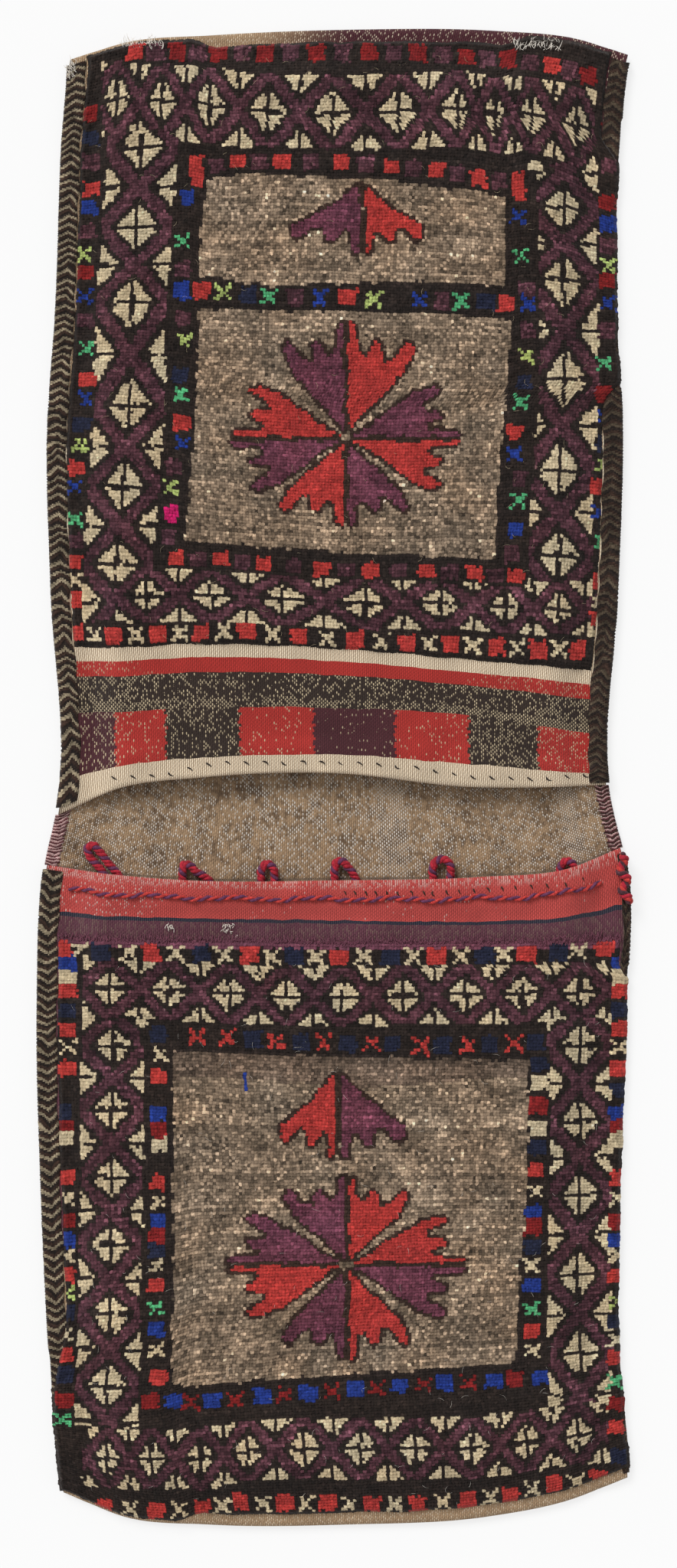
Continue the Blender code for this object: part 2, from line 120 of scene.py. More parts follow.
# Dyes, as they look in even light
DYES = {
    "ground": (42, 33, 29),
    "aubergine": (84, 50, 58),
    "plum": (112, 60, 76),
    "red": (190, 60, 55),
    "madder": (134, 32, 32),
    "cream": (216, 196, 160),
    "camel": (146, 125, 104),
    "brown field": (116, 97, 82),
    "navy": (34, 38, 60),
    "blue": (34, 58, 140),
    "green": (88, 180, 122),
    "lime": (182, 198, 116),
    "magenta": (208, 28, 104),
    "umber": (60, 43, 35),
    "pale": (234, 226, 214),
    "tan": (178, 148, 116),
    "hem cream": (246, 228, 200),
    "hem red": (200, 80, 75),
    "band red": (182, 54, 48),
    "band dark": (58, 46, 40),
    "band purple": (82, 42, 48),
    "purple weave": (102, 60, 72),
    "ridge purple": (116, 66, 82),
    "straw": (150, 136, 112),
    "khaki": (84, 72, 58),
    "loop red": (176, 40, 56),
    "loop purple": (104, 56, 88),
    "maroon": (92, 48, 52),
    "pink": (196, 160, 156),
}
DYE_NAMES = list(DYES)
DYE_CODE = {name: code for code, name in enumerate(DYE_NAMES)}
SPREAD = {"camel": 0.52, "brown field": 0.42, "aubergine": 0.50, "plum": 0.34, "cream": 0.14, "ground": 0.30}


def linear(rgb):
    """Linear light of an 8-bit colour: the display's curve undone."""
    c = np.asarray(rgb, float) / 255
    return np.where(c <= 0.04045, c / 12.92, ((c + 0.055) / 1.055) ** 2.4)


DYE_LIGHT = np.array([linear(DYES[name]) for name in DYE_NAMES])


def dye(name):
    return (*DYE_LIGHT[DYE_CODE[name]], 1.0)


def ease(x):
    """0 below 0, 1 above 1, and a smooth step between."""
    x = np.clip(x, 0, 1)
    return x * x * (3 - 2 * x)


def weights(knots, at):
    """How much each knot counts at each place: a cubic between neighbours, with their slopes."""
    knots, at = np.asarray(knots, float), np.asarray(at, float)
    unit = np.eye(len(knots))
    slopes = np.gradient(unit, knots, axis=0)
    i = np.clip(np.searchsorted(knots, at) - 1, 0, len(knots) - 2)
    span = (knots[i + 1] - knots[i])[..., None]
    t = np.clip((at - knots[i])[..., None] / span, 0, 1)
    start = (1 + 2 * t) * (1 - t) ** 2 * unit[i] + t * (1 - t) ** 2 * span * slopes[i]
    return start + t * t * (3 - 2 * t) * unit[i + 1] + t * t * (t - 1) * span * slopes[i + 1]


def side_x(y, wander, side, inset):
    """The side edge at y: half the width, less the inset, and the cloth's wander."""
    reach = np.where(y > 0, UPPER_MOUTH_Y + UPPER_DEPTH, LOWER_DEPTH - LOWER_MOUTH_Y)
    return side * (HALF - inset) + weights(EDGE_ALONG, np.clip(y / reach, -1, 1)) @ np.array(wander)


def plan_x(u, y):
    left = side_x(y, LEFT_WANDER, -1, EDGE_INSET)
    right = side_x(y, RIGHT_WANDER, 1, EDGE_INSET)
    return left + (u + 1) / 2 * (right - left)


def edge_distance(u):
    return (1 - np.abs(u)) * HALF


def under(u):
    """Underside of the back: on the floor, lifted beside the seams."""
    return LIFT * (1 - ease((edge_distance(u) - MARGIN) / EDGE_SLOPE))


class Pouch:
    def __init__(self, name, way, mouth_y, depth, rows, bands, puff):
        self.name, self.way, self.mouth_y, self.depth = name, way, mouth_y, depth
        self.row_at, self.rows = list(rows), np.array(list(rows.values()))
        self.bands, self.puff = bands, puff

    def y(self, u, v):
        """Mouth, plus the way in, plus the row's sag: cubics across and along the sag table."""
        sag = (weights(ROW_ACROSS, u) @ self.rows.T * weights(self.row_at, v)).sum(-1)
        return self.mouth_y + self.way * v + sag

    def gap(self, u, v):
        """Clear height between back and face: closed at the sides and the fold, open between."""
        hem = 1 - ease((v - HEM_DEPTH - CLOTH) / HEM_DEPTH)
        closed = LAYER_GAP + (CLOTH + LAYER_GAP) * hem
        across = ease((edge_distance(u) - MARGIN) / SIDE_RISE)
        along = ease((self.depth - FOLD_REACH - v) / FOLD_RISE)
        ripple = WAVE * np.sin(2 * math.pi * (u * 1.3 + v / 0.21)) * np.sin(2 * math.pi * v / 0.37)
        return closed + across * (FOLD_PUFF + (self.puff - FOLD_PUFF + ripple) * along)

    def under(self, u, v):
        return under(u) + CLOTH + self.gap(u, v)

    def top(self, u, v):
        """Upper skin of the face's cloth, below the pile."""
        return self.under(u, v) + CLOTH

    def place(self, u, v, z):
        """Points of the face on the plan, z high, for arrays of one shape."""
        u, v, z = np.broadcast_arrays(u, v, z)
        y = self.y(u, v)
        return np.stack([plan_x(u, y), y, z], -1)


UPPER = Pouch("upper", 1, UPPER_MOUTH_Y, UPPER_DEPTH, UPPER_ROWS, UPPER_BANDS, UPPER_PUFF)
LOWER = Pouch("lower", -1, LOWER_MOUTH_Y, LOWER_DEPTH, LOWER_ROWS, LOWER_BANDS, LOWER_PUFF)


# Meshes


def grid_faces(rows, columns, wrap=False):
    """Quads of a grid of rows by columns, and with wrap also from the last column to the first."""
    index = np.arange(rows * columns).reshape(rows, columns)
    if wrap:
        index = np.concatenate([index, index[:, :1]], 1)
    return np.stack([index[:-1, :-1], index[:-1, 1:], index[1:, 1:], index[1:, :-1]], -1).reshape(-1, 4)


def mesh_piece(name, points, faces, closed=True, colours=None, cloth=None, shade=1.0):
    """A smooth mesh object at the origin. colours is one per face, cloth one UV pair per corner,
    and shade is painted shade: it darkens the colours by one factor per vertex.
    Faces are turned outwards: by the sign of the volume, or upwards on an open sheet."""
    points = np.asarray(points, float).reshape(-1, 3)
    corners = points[faces]
    normal = np.cross(corners[:, 1] - corners[:, 0], corners[:, 2] - corners[:, 0])
    measure = (normal * corners[:, 0]).sum() if closed else normal[:, 2].sum()
    flip = measure < 0
    if flip:
        faces = faces[:, ::-1]
    mesh = bpy.data.meshes.new(name)
    mesh.vertices.add(len(points))
    mesh.vertices.foreach_set("co", points.ravel())
    mesh.loops.add(faces.size)
    mesh.loops.foreach_set("vertex_index", faces.ravel().astype(np.int32))
    mesh.polygons.add(len(faces))
    mesh.polygons.foreach_set("loop_start", np.arange(0, faces.size, faces.shape[1], dtype=np.int32))
    mesh.update(calc_edges=True)
    mesh.shade_smooth()
    if colours is not None:
        paint = mesh.color_attributes.new("dye", "FLOAT_COLOR", "CORNER")
        darker = np.broadcast_to(shade, len(points))[faces][..., None]
        rgb = np.clip(colours[:, None] * darker, 0, 1)
        paint.data.foreach_set("color", np.concatenate([rgb, np.ones_like(darker)], 2).ravel())
    if cloth is not None:
        layer = mesh.uv_layers.new(name="cloth")
        pairs = cloth[:, ::-1] if flip else cloth
        layer.data.foreach_set("uv", pairs.ravel())
    piece = bpy.data.objects.new(name, mesh)
    bpy.context.scene.collection.objects.link(piece)
    return piece


def tubes(paths, radius, sides=6, taper=False):
    """Points and faces of round tubes: at each step of a path, a ring across its direction.
    paths is tubes by steps by 3. Each tube has capped ends, drawn to its centre line."""
    paths = np.asarray(paths, float)
    count, steps = paths.shape[:2]
    ahead = np.gradient(paths, axis=1)
    ahead /= np.linalg.norm(ahead, axis=2, keepdims=True) + 1e-12
    beside = np.cross(ahead, (0.03, 0.02, 1.0))
    beside /= np.linalg.norm(beside, axis=2, keepdims=True) + 1e-12
    above = np.cross(beside, ahead)
    turn = np.arange(sides) * 2 * math.pi / sides
    size = np.broadcast_to(np.asarray(radius, float), (count, steps)).copy()
    if taper:
        size *= np.linspace(1, 0.35, steps)
    size[:, 0] *= 0.15
    size[:, -1] *= 0.15
    ring = beside[:, :, None] * np.cos(turn)[:, None] + above[:, :, None] * np.sin(turn)[:, None]
    points = paths[:, :, None] + ring * size[:, :, None, None]
    one = grid_faces(steps, sides, wrap=True)
    faces = (one[None] + (np.arange(count) * steps * sides)[:, None, None]).reshape(-1, 4)
    ends = []
    for j in range(sides // 2 - 1):
        ends += [(j, j + 1, sides - 2 - j, sides - 1 - j)]
    ends = np.array(ends)
    first = (ends[None] + (np.arange(count) * steps * sides)[:, None, None]).reshape(-1, 4)
    last = first[:, ::-1] + (steps - 1) * sides
    return points.reshape(-1, 3), np.concatenate([faces, first[:, ::-1], last]), len(one), len(ends)


def noise_grid(rng, rows, columns, step):
    """Smooth noise about 0: random values every step cells, with cubic interpolation between."""
    high, wide = max(3, rows // step + 3), max(3, columns // step + 3)
    coarse = rng.standard_normal((high, wide))
    down = weights(np.arange(high), np.linspace(0.5, high - 1.5, rows))
    over = weights(np.arange(wide), np.linspace(0.5, wide - 1.5, columns))
    return down @ coarse @ over.T


# Materials


class Wire:
    """A value in one finish's nodes, so that arithmetic on it adds Math nodes."""

    def __init__(self, finish, socket):
        self.finish, self.socket = finish, socket

    def __add__(self, other):
        return self.finish.maths("ADD", self, other)

    def __sub__(self, other):
        return self.finish.maths("SUBTRACT", self, other)

    def __rsub__(self, other):
        return self.finish.maths("SUBTRACT", other, self)

    def __mul__(self, other):
        return self.finish.maths("MULTIPLY", self, other)

    def __truediv__(self, other):
        return self.finish.maths("DIVIDE", self, other)

    def __gt__(self, other):
        return self.finish.maths("GREATER_THAN", self, other)

    def __lt__(self, other):
        return self.finish.maths("LESS_THAN", self, other)

    __radd__ = __add__
    __rmul__ = __mul__


class Finish:
    """One woollen finish: a Principled shader and the nodes that feed it."""

    def __init__(self, name, roughness=0.9, sheen=0.12):
        self.material = bpy.data.materials.new(name)
        self.material.use_nodes = True
        self.tree = self.material.node_tree
        self.shader = self.tree.nodes["Principled BSDF"]
        self.shader.inputs["Roughness"].default_value = roughness
        self.shader.inputs["Specular IOR Level"].default_value = 0.25
        self.shader.inputs["Sheen Weight"].default_value = sheen
        self.shader.inputs["Sheen Roughness"].default_value = 0.45

    def node(self, kind, settings=None, values=None, output=0):
        """Adds a node, sets its settings, then its sockets by name or number, and gives an output."""
        made = self.tree.nodes.new("ShaderNode" + kind)
        for key, setting in (settings or {}).items():
            setattr(made, key, setting)
        for key, value in (values or {}).items():
            if isinstance(value, Wire):
                self.tree.links.new(value.socket, made.inputs[key])
            else:
                made.inputs[key].default_value = value
        return Wire(self, made.outputs[output])

    def maths(self, operation, *values, clamp=False):
        settings = {"operation": operation, "use_clamp": clamp}
        return self.node("Math", settings, dict(enumerate(values)))

    def mix(self, first, second, share, blend="MIX"):
        settings = {"data_type": "RGBA", "blend_type": blend}
        return self.node("Mix", settings, {0: share, 6: first, 7: second}, output=2)

    def smooth_step(self, value, low, high):
        settings = {"interpolation_type": "SMOOTHSTEP"}
        return self.node("MapRange", settings, {0: value, 1: low, 2: high, 3: 0.0, 4: 1.0})

    def noise(self, vector, scale, detail=2.0):
        return self.node("TexNoise", {}, {"Vector": vector, "Scale": scale, "Detail": detail})

    def stretched(self, vector, x, y, z):
        return self.node("VectorMath", {"operation": "MULTIPLY"}, {0: vector, 1: (x, y, z)})

    def cells(self, x, y):
        """A random number for each whole-number cell of x and y."""
        across, down = self.maths("FLOOR", x), self.maths("FLOOR", y)
        spot = self.node("CombineXYZ", {}, {0: across, 1: down, 2: 0.5})
        return self.node("TexWhiteNoise", {"noise_dimensions": "3D"}, {0: spot})

    def finish(self, colour, height, depth):
        """Joins the colour, and the height in metres as a bump, to the shader."""
        self.tree.links.new(colour.socket, self.shader.inputs["Base Color"])
        bump = self.node("Bump", {}, {"Strength": 1.0, "Distance": depth, "Height": height})
        self.tree.links.new(bump.socket, self.shader.inputs["Normal"])
        return self.material


def dyed_wool(name, fibre, depth, roughness=0.9, sheen=0.15):
    """Wool in the colours of the piece's own dye attribute, with fibres as noise of that size."""
    f = Finish(name, roughness, sheen)
    colour = f.node("Attribute", {"attribute_name": "dye"})
    spot = f.node("TexCoord", {}, output=3)
    hairs = f.noise(f.stretched(spot, 1.0, 0.45, 1.0), 1 / fibre, 3.0)
    clumps = f.noise(spot, 0.22 / fibre, 2.0)
    shade = f.maths("MULTIPLY_ADD", hairs, 1.1, 0.42) * f.maths("MULTIPLY_ADD", clumps, 0.5, 0.76)
    grey = f.node("CombineXYZ", {}, {0: shade, 1: shade, 2: shade})
    return f.finish(f.mix(colour, grey, 1.0, "MULTIPLY"), hairs + clumps * 0.8, depth)


def weave_ground(f, warp, weft):
    """What every flat weave shares: the cloth's own s and v, ribs over the warps, dots where a
    warp shows between two wefts, and a random number for each dot."""
    cloth = f.node("UVMap", {"uv_map": "cloth"})
    apart = f.node("SeparateXYZ", {}, {0: cloth})
    s = Wire(f, apart.socket.node.outputs[0])
    v = Wire(f, apart.socket.node.outputs[1])
    spot = f.node("TexCoord", {}, output=3)
    s = s + (f.noise(spot, 40.0, 2.0) - 0.5) * 0.0012
    v = v + (f.noise(f.stretched(spot, 1.0, 0.3, 1.0), 45.0, 2.0) - 0.5) * 0.0030
    wave = f.maths("SINE", s * (math.pi / warp))
    rib = wave * wave
    half_step = f.maths("MODULO", f.maths("FLOOR", s / warp) + 1000.0, 2.0) * 0.5
    swing = f.maths("SINE", (v / weft + half_step) * math.pi)
    dot = rib * swing * swing
    chance = f.cells(s / warp + 900.0, v / weft + half_step + 900.0)
    return s, v, spot, rib, dot, chance


def flecked(f, colour, fleck, dot, chance, share, strength):
    """Dots of the fleck's dye over the colour. share, 0 to 1, is how many cells have one."""
    bright = f.maths("FRACT", chance * 37.0) * 0.5 + 0.5
    shown = f.smooth_step(dot, 0.10, 0.50) * f.smooth_step(share - chance, 0.0, 0.05) * bright
    return f.mix(colour, fleck, shown * strength)


def woven(f, colour, spot, rib, dot, depth=0.36):
    """Paints shade into the colour: darker in the grooves between ribs by depth, lighter on the raised dots as a
    painted highlight, with fibre and broad noise as random tone; and bumps it by the same.
    """
    fibre = f.noise(spot, 1300.0, 3.0)
    broad = f.noise(spot, 34.0, 2.0)
    # painted shade in the rib grooves and a painted highlight on the raised dots
    shade = f.maths("MULTIPLY_ADD", rib, depth, 0.72) + dot * 0.16
    shade = shade * f.maths("MULTIPLY_ADD", fibre, 0.6, 0.72) * f.maths("MULTIPLY_ADD", broad, 0.5, 0.78)
    grey = f.node("CombineXYZ", {}, {0: shade, 1: shade, 2: shade})
    height = rib * 0.7 + dot * 0.8 + fibre * 0.4
    return f.finish(f.mix(colour, grey, 1.0, "MULTIPLY"), height, 0.0006)


SQUARES = (
    ("band purple", -0.1978),
    ("band red", -0.1520),
    ("band dark", -0.0850),
    ("band red", -0.0180),
    ("band purple", 0.0555),
    ("band red", 0.1220),
    ("band dark", 0.1850),
    ("band red", 1.0),
)


def upper_weave():
    """Bands of the upper mouth, from the hem in: cream, squares, dark, red, cream; purple at the fold."""
    f = Finish("upper flat weave")
    s, v, spot, rib, dot, chance = weave_ground(f, 0.00172, 0.0032)
    broad = f.noise(f.stretched(spot, 0.6, 1.4, 1.0), 26.0, 2.0) * 0.5 + f.noise(spot, 210.0, 2.0) * 0.5
    sides = f.smooth_step(f.maths("ABSOLUTE", s + 0.02), 0.10, 0.21)
    ragged = (f.cells(v * 420.0, 3.0) - 0.5) * 0.004
    squares, light = dye(SQUARES[0][0]), 0.30
    for (_, edge), (name, _) in zip(SQUARES, SQUARES[1:]):
        past = (s + ragged) > edge
        squares = f.mix(squares, dye(name), past)
        few = {"band purple": 0.12, "band red": 0.10, "band dark": 0.36}[name]
        light = past * few + (1.0 - past) * light
    squares = flecked(f, squares, dye("cream"), dot, chance, light + (broad - 0.5) * 1.1 + sides * 0.22, 0.9)
    near = 1.0 - f.smooth_step(f.maths("ABSOLUTE", v - 0.0600), 0.002, 0.006)
    share = (broad - 0.5) * 1.5 + 0.40 + near * 0.35 + sides * 0.22
    dark = flecked(f, dye("band dark"), dye("cream"), dot, chance, share, 1.0)
    red = flecked(f, dye("band red"), dye("cream"), dot, chance, sides * 0.5 - 0.05, 0.6)
    hem = f.mix(dye("tan"), dye("hem cream"), f.smooth_step(dot + rib * 0.5, 0.05, 0.55))
    colour = f.mix(hem, squares, v > UPPER_BANDS["squares"])
    colour = f.mix(colour, dark, v > UPPER_BANDS["dark"])
    colour = f.mix(colour, red, v > UPPER_BANDS["red"])
    colour = f.mix(colour, hem, v > UPPER_BANDS["cream"])
    fold = f.mix(dye("tan"), dye("band purple"), f.smooth_step(s, -0.10, 0.0))
    fold = flecked(f, fold, dye("hem cream"), dot, chance, 0.42, 0.6)
    return woven(f, f.mix(colour, fold, v > UPPER_BANDS["pile"] + 0.2), spot, rib, dot)


def lower_weave():
    """Bands of the lower mouth: red hem, a navy line, purple; tan at the fold."""
    f = Finish("lower flat weave")
    s, v, spot, rib, dot, chance = weave_ground(f, 0.00165, 0.0030)
    broad = f.noise(spot, 24.0, 2.0)
    left = 1.0 - f.smooth_step(s, -0.23, -0.10)
    edge = 1.0 - f.smooth_step(v, 0.004, 0.009)
    ticks = rib * edge * f.smooth_step(chance, 0.25, 0.9) * 0.5
    red = f.mix(dye("hem red"), dye("pale"), ticks)
    red = flecked(f, red, dye("pale"), dot, chance, (broad - 0.5) * 0.6 + left * 0.28 + 0.02, 0.6)
    purple = f.mix(dye("purple weave"), dye("straw"), rib * f.smooth_step(chance, 0.3, 1.0) * 0.34)
    wander = (f.noise(spot, 60.0, 2.0) - 0.5) * 0.0030
    navy = f.mix(dye("navy"), dye("straw"), rib * 0.14)
    colour = f.mix(red, navy, (v + wander) > LOWER_BANDS["navy"])
    colour = f.mix(colour, purple, (v + wander * 0.5) > LOWER_BANDS["purple"])
    fold = flecked(f, dye("tan"), dye("hem cream"), dot, chance, 0.5, 0.6)
    return woven(f, f.mix(colour, fold, v > 0.3), spot, rib, dot)


def bridge_weave():
    """Bridge, back and insides: brown weft with a cream dot in nearly every cell, and a few
    stripes along the warp."""
    f = Finish("brown flat weave")
    s, v, spot, rib, dot, chance = weave_ground(f, 0.00182, 0.0034)
    broad = f.noise(f.stretched(spot, 1.0, 1.6, 1.0), 30.0, 3.0)
    stripes = f.noise(f.stretched(spot, 1.0, 0.06, 0.06), 60.0, 2.0)
    clumps = f.noise(f.stretched(spot, 1.0, 0.7, 1.0), 230.0, 2.0)
    ground = f.mix(dye("tan"), dye("umber"), f.smooth_step(broad * 0.5 + clumps * 0.5, 0.40, 0.66) * 0.70)
    share = broad * 0.4 + (stripes - 0.5) * 0.9 + (clumps - 0.5) * 0.8 + 0.34
    for place, width, amount in ((-0.104, 0.0022, -1.2), (0.050, 0.013, 0.5), (0.207, 0.007, 0.6)):
        stripe = 1.0 - f.smooth_step(f.maths("ABSOLUTE", s - place), width * 0.7, width * 1.3)
        share = share + stripe * amount
    return woven(f, flecked(f, ground, dye("pale"), dot, chance, share, 0.95), spot, rib, dot, 0.30)


# The strip of cloth


def strip():
    """The whole folded strip: hem, face, fold, back, bridge, back, fold, face and hem, as two
    skins and a rim. u runs across it; the rows follow the same curves as the solid's."""
    u = np.concatenate([np.linspace(0, 0.1, 9)[:-1], np.linspace(0.1, 0.9, 61), np.linspace(0.9, 1, 9)[1:]]) * 2 - 1
    outer, inner, spans, kinds = [], [], [], []

    def add(kind, out, into, v):
        outer.append(out)
        inner.append(into)
        spans.append(np.broadcast_to(np.asarray(v, float)[:, None], out.shape[:2]))
        kinds.append(np.full(len(out), kind))

    def hem(pouch, kind):
        turn = CLOTH + LAYER_GAP / 2
        v = np.linspace(HEM_DEPTH, turn, 8)
        grid_v, grid_u = np.meshgrid(v, u, indexing="ij")
        ceiling = pouch.under(grid_u, grid_v) - LAYER_GAP
        flap = (pouch.place(grid_u, grid_v, ceiling - CLOTH), pouch.place(grid_u, grid_v, ceiling), -v)
        angle = math.pi * (np.linspace(0, 1, 10)[1:-1] - 0.5)
        rolls = []
        for radius in (turn, LAYER_GAP / 2):
            roll_v, roll_u = np.meshgrid(turn - radius * np.cos(angle), u, indexing="ij")
            middle = pouch.under(roll_u, np.full_like(roll_u, turn)) - LAYER_GAP / 2
            rolls.append(pouch.place(roll_u, roll_v, middle + radius * np.sin(angle)[:, None]))
        return flap, (rolls[0], rolls[1], turn * np.sin(angle) * 0.3)

    def face(pouch):
        near = np.linspace(CLOTH + LAYER_GAP / 2, pouch.bands["pile"] + 0.006, 70)
        far = np.linspace(pouch.bands["pile"] + 0.012, pouch.depth - 0.02, 60)
        v = np.concatenate([near, far, np.linspace(pouch.depth - 0.018, pouch.depth - FOLD_REACH, 10)])
        grid_v, grid_u = np.meshgrid(v, u, indexing="ij")
        hand = 0.0004 * np.sin(grid_u * 31 + grid_v * 55) * ease((edge_distance(grid_u) - MARGIN) / 0.03)
        top = pouch.place(grid_u, grid_v, pouch.top(grid_u, grid_v) + hand)
        return top, pouch.place(grid_u, grid_v, pouch.under(grid_u, grid_v) + hand), v

    def fold(pouch):
        start = pouch.depth - FOLD_REACH
        angle = math.pi * (0.5 - np.linspace(0, 1, 12)[1:-1])
        skins = []
        for inset, reach in ((0.0, FOLD_REACH), (CLOTH, FOLD_REACH - CLOTH)):
            grid_v, grid_u = np.meshgrid(start + reach * np.cos(angle), u, indexing="ij")
            high = pouch.under(grid_u, np.full_like(grid_u, start)) + CLOTH - inset
            low = under(grid_u) + inset
            skins.append(pouch.place(grid_u, grid_v, (high + low) / 2 + (high - low) / 2 * np.sin(angle)[:, None]))
        return skins[0], skins[1], start + FOLD_REACH * np.cos(angle)

    def back(pouch):
        v = np.linspace(0, pouch.depth - FOLD_REACH, 60)
        grid_v, grid_u = np.meshgrid(v, u, indexing="ij")
        return pouch.place(grid_u, grid_v, under(grid_u)), pouch.place(grid_u, grid_v, under(grid_u) + CLOTH), v

    def turned(part):
        return tuple(np.asarray(side)[::-1] for side in part)

    for part in hem(UPPER, 0):
        add(0, *part)
    add(0, *face(UPPER))
    add(0, *fold(UPPER))
    add(2, *turned(back(UPPER)))
    share = np.linspace(0, 1, 50)[1:-1]
    grid_share, grid_u = np.meshgrid(share, u, indexing="ij")
    flat_u = np.zeros_like(grid_u)
    y = UPPER.y(grid_u, flat_u) * (1 - grid_share) + LOWER.y(grid_u, flat_u) * grid_share
    swell = 0.0005 * np.sin(grid_u * 17 + 2 * grid_share) ** 2 * ease((edge_distance(grid_u) - MARGIN) / 0.03)
    low = np.stack([plan_x(grid_u, y), y, under(grid_u)], -1)
    add(2, low, low + np.stack([0 * y, 0 * y, CLOTH + swell], -1), -share * BRIDGE_LENGTH)
    add(2, *back(LOWER))
    add(1, *turned(fold(LOWER)))
    add(1, *turned(face(LOWER)))
    for part in hem(LOWER, 1)[::-1]:
        add(1, *turned(part))
    outer, inner = np.concatenate(outer), np.concatenate(inner)
    span, kind = np.concatenate(spans), np.concatenate(kinds)
    rows, columns = outer.shape[:2]
    skin = grid_faces(rows, columns)
    count = rows * columns
    ring = np.arange(count).reshape(rows, columns)
    rims = []
    for line, flip in ((ring[:, 0], 0), (ring[:, -1], 1), (ring[0], 1), (ring[-1], 0)):
        quad = np.stack([line[:-1], line[1:], line[1:] + count, line[:-1] + count], -1)
        rims.append(quad[:, ::-1] if flip else quad)
    faces = np.concatenate([skin[:, ::-1], skin + count, *rims])
    s = np.broadcast_to(u * HALF, (rows, columns)).ravel()
    pairs = np.stack([s, span.ravel()], -1)
    cloth = pairs[faces % count]
    piece = mesh_piece("woven_strip", np.concatenate([outer.reshape(-1, 3), inner.reshape(-1, 3)]), faces, cloth=cloth)
    for material in (upper_weave(), lower_weave(), bridge_weave()):
        piece.data.materials.append(material)
    row_of = (faces % count)[:, 0] // columns
    slots = kind[row_of]
    slots[len(skin) : 2 * len(skin)] = 2
    piece.data.polygons.foreach_set("material_index", slots.astype(np.int32))
    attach(piece, "root")
    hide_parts("woven_body")
    return piece


# The knotted pattern


def line_at(at, line):
    """The cross position of a row of squares, straight between the line's points."""
    line = np.array(line, float)
    return np.interp(at, line[:, 0], line[:, 1])


def inside(x, y, outline):
    """True within a closed outline, by counting the edges that cross the row of each point."""
    outline = np.array(outline, float)
    hit = np.zeros(np.shape(x), bool)
    for (x0, y0), (x1, y1) in zip(outline, np.roll(outline, -1, 0)):
        crosses = (y0 > y) != (y1 > y)
        at = x0 + (y - y0) * (x1 - x0) / (y1 - y0 + 1e-9)
        hit ^= crosses & (x < at)
    return hit


KINDS = {
    "R": ("red", False), "D": ("madder", False), "N": ("navy", False), "b": ("blue", False),
    "B": ("blue", True), "G": ("green", True), "L": ("lime", True), "C": ("cream", True),
    "P": ("aubergine", False), "M": ("magenta", False), "K": ("cream", False), "r": ("red", True),
    "m": ("madder", True), "U": ("ground", False),
}


class Chart:
    """The weaver's chart of one pouch: a dye for every knot, drawn shape by shape. x and y are
    the knots' places on the chart."""

    def __init__(self, x, y, rng):
        self.x, self.y, self.rng = x, y, rng
        self.code = np.full(x.shape, DYE_CODE["ground"])

    def fill(self, mask, name):
        self.code[mask] = DYE_CODE[name]

    def square(self, kind, x, y, wide=11.0, high=11.0):
        """A block of one dye, or with crossed diagonals of it on the ground."""
        name, crossed = KINDS[kind]
        dx, dy = self.x - x, self.y - y
        block = (np.abs(dx) < wide) & (np.abs(dy) < high)
        if crossed:
            arms = np.abs(np.abs(dx) / wide - np.abs(dy) / high) < 0.34
            block &= arms & (self.rng.random(dx.shape) < 0.93)
        self.fill(block, name)

    def guard(self, items, line, upright=False, between=None, wide=11.0, high=11.0):
        """A row of squares, written as a kind and a place each, with one kind between them."""
        places = [(item[0], float(item[1:])) for item in items.split()]
        if between:
            middles = [(between, (a[1] + b[1]) / 2) for a, b in zip(places, places[1:])]
            places += middles
        for kind, at in places:
            across = float(line_at(at, line))
            if upright:
                self.square(kind, across, at, wide, high)
            else:
                self.square(kind, at, across, wide, high)

    def border(self, centres, reach, upright=False, start=None, end=None):
        """A run of lozenges: level = 2 x share of the way to the next flower + share of the way
        to the border's edge. Low levels are a flower, then ground, a ring, and half flowers."""
        centres = np.array(centres, float)
        along, across = (self.y, self.x) if upright else (self.x, self.y)
        at, middle = (centres[:, 1], centres[:, 0]) if upright else (centres[:, 0], centres[:, 1])
        count = np.arange(len(at), dtype=float)
        first, last = at[0] - (at[1] - at[0]), at[-1] + (at[-1] - at[-2])
        at_all = np.concatenate([[first], at, [last]])
        phase = np.interp(along, at_all, np.concatenate([[-1.0], count, [len(at)]]))
        off = across - np.interp(along, at, middle)
        near = phase - np.round(phase)
        step = np.interp(along, (at_all[1:] + at_all[:-1]) / 2, np.diff(at_all))
        level = 2 * np.abs(near) + np.abs(off) / reach
        low = at[0] - 12 if start is None else start
        high = at[-1] + 12 if end is None else end
        zone = (along > low) & (along < high) & (np.abs(off) < reach)
        cross = (np.abs(off) < 2.6) | (np.abs(near * step) < 2.6)
        split = np.abs(0.5 - np.abs(near)) * step < 2.4
        self.fill(zone, "ground")
        self.fill(zone & (level > 0.80) & (level < 1.24), "aubergine")
        self.fill(zone & (level < 0.62) & ~cross, "cream")
        self.fill(zone & (level > 1.44) & (np.abs(off) > 0.5 * reach) & ~split, "cream")

    def petal(self, centre, along, across, reach, spread, name, teeth):
        """Half a comb-edged petal: its axis, then teeth along the outer edge, back to the centre."""
        outline = []
        for a, b in teeth:
            place = np.array(centre) + np.array(along) * a * reach + np.array(across) * b * spread
            outline.append(place)
        outline = np.array(outline)
        middle = outline.mean(0)
        grown = middle + (outline - middle) * 1.0
        edge = np.zeros(self.x.shape, bool)
        for dx, dy in ((-4, 0), (4, 0), (0, -4), (0, 4), (3, 3), (-3, -3), (3, -3), (-3, 3)):
            edge |= inside(self.x + dx, self.y + dy, grown)
        body = inside(self.x, self.y, outline)
        return edge, body, name

    def petals(self, parts):
        """Draws the petals' dark outlines first, and then their bodies."""
        for edge, _, _ in parts:
            self.fill(edge, "umber")
        for _, body, name in parts:
            self.fill(body, name)


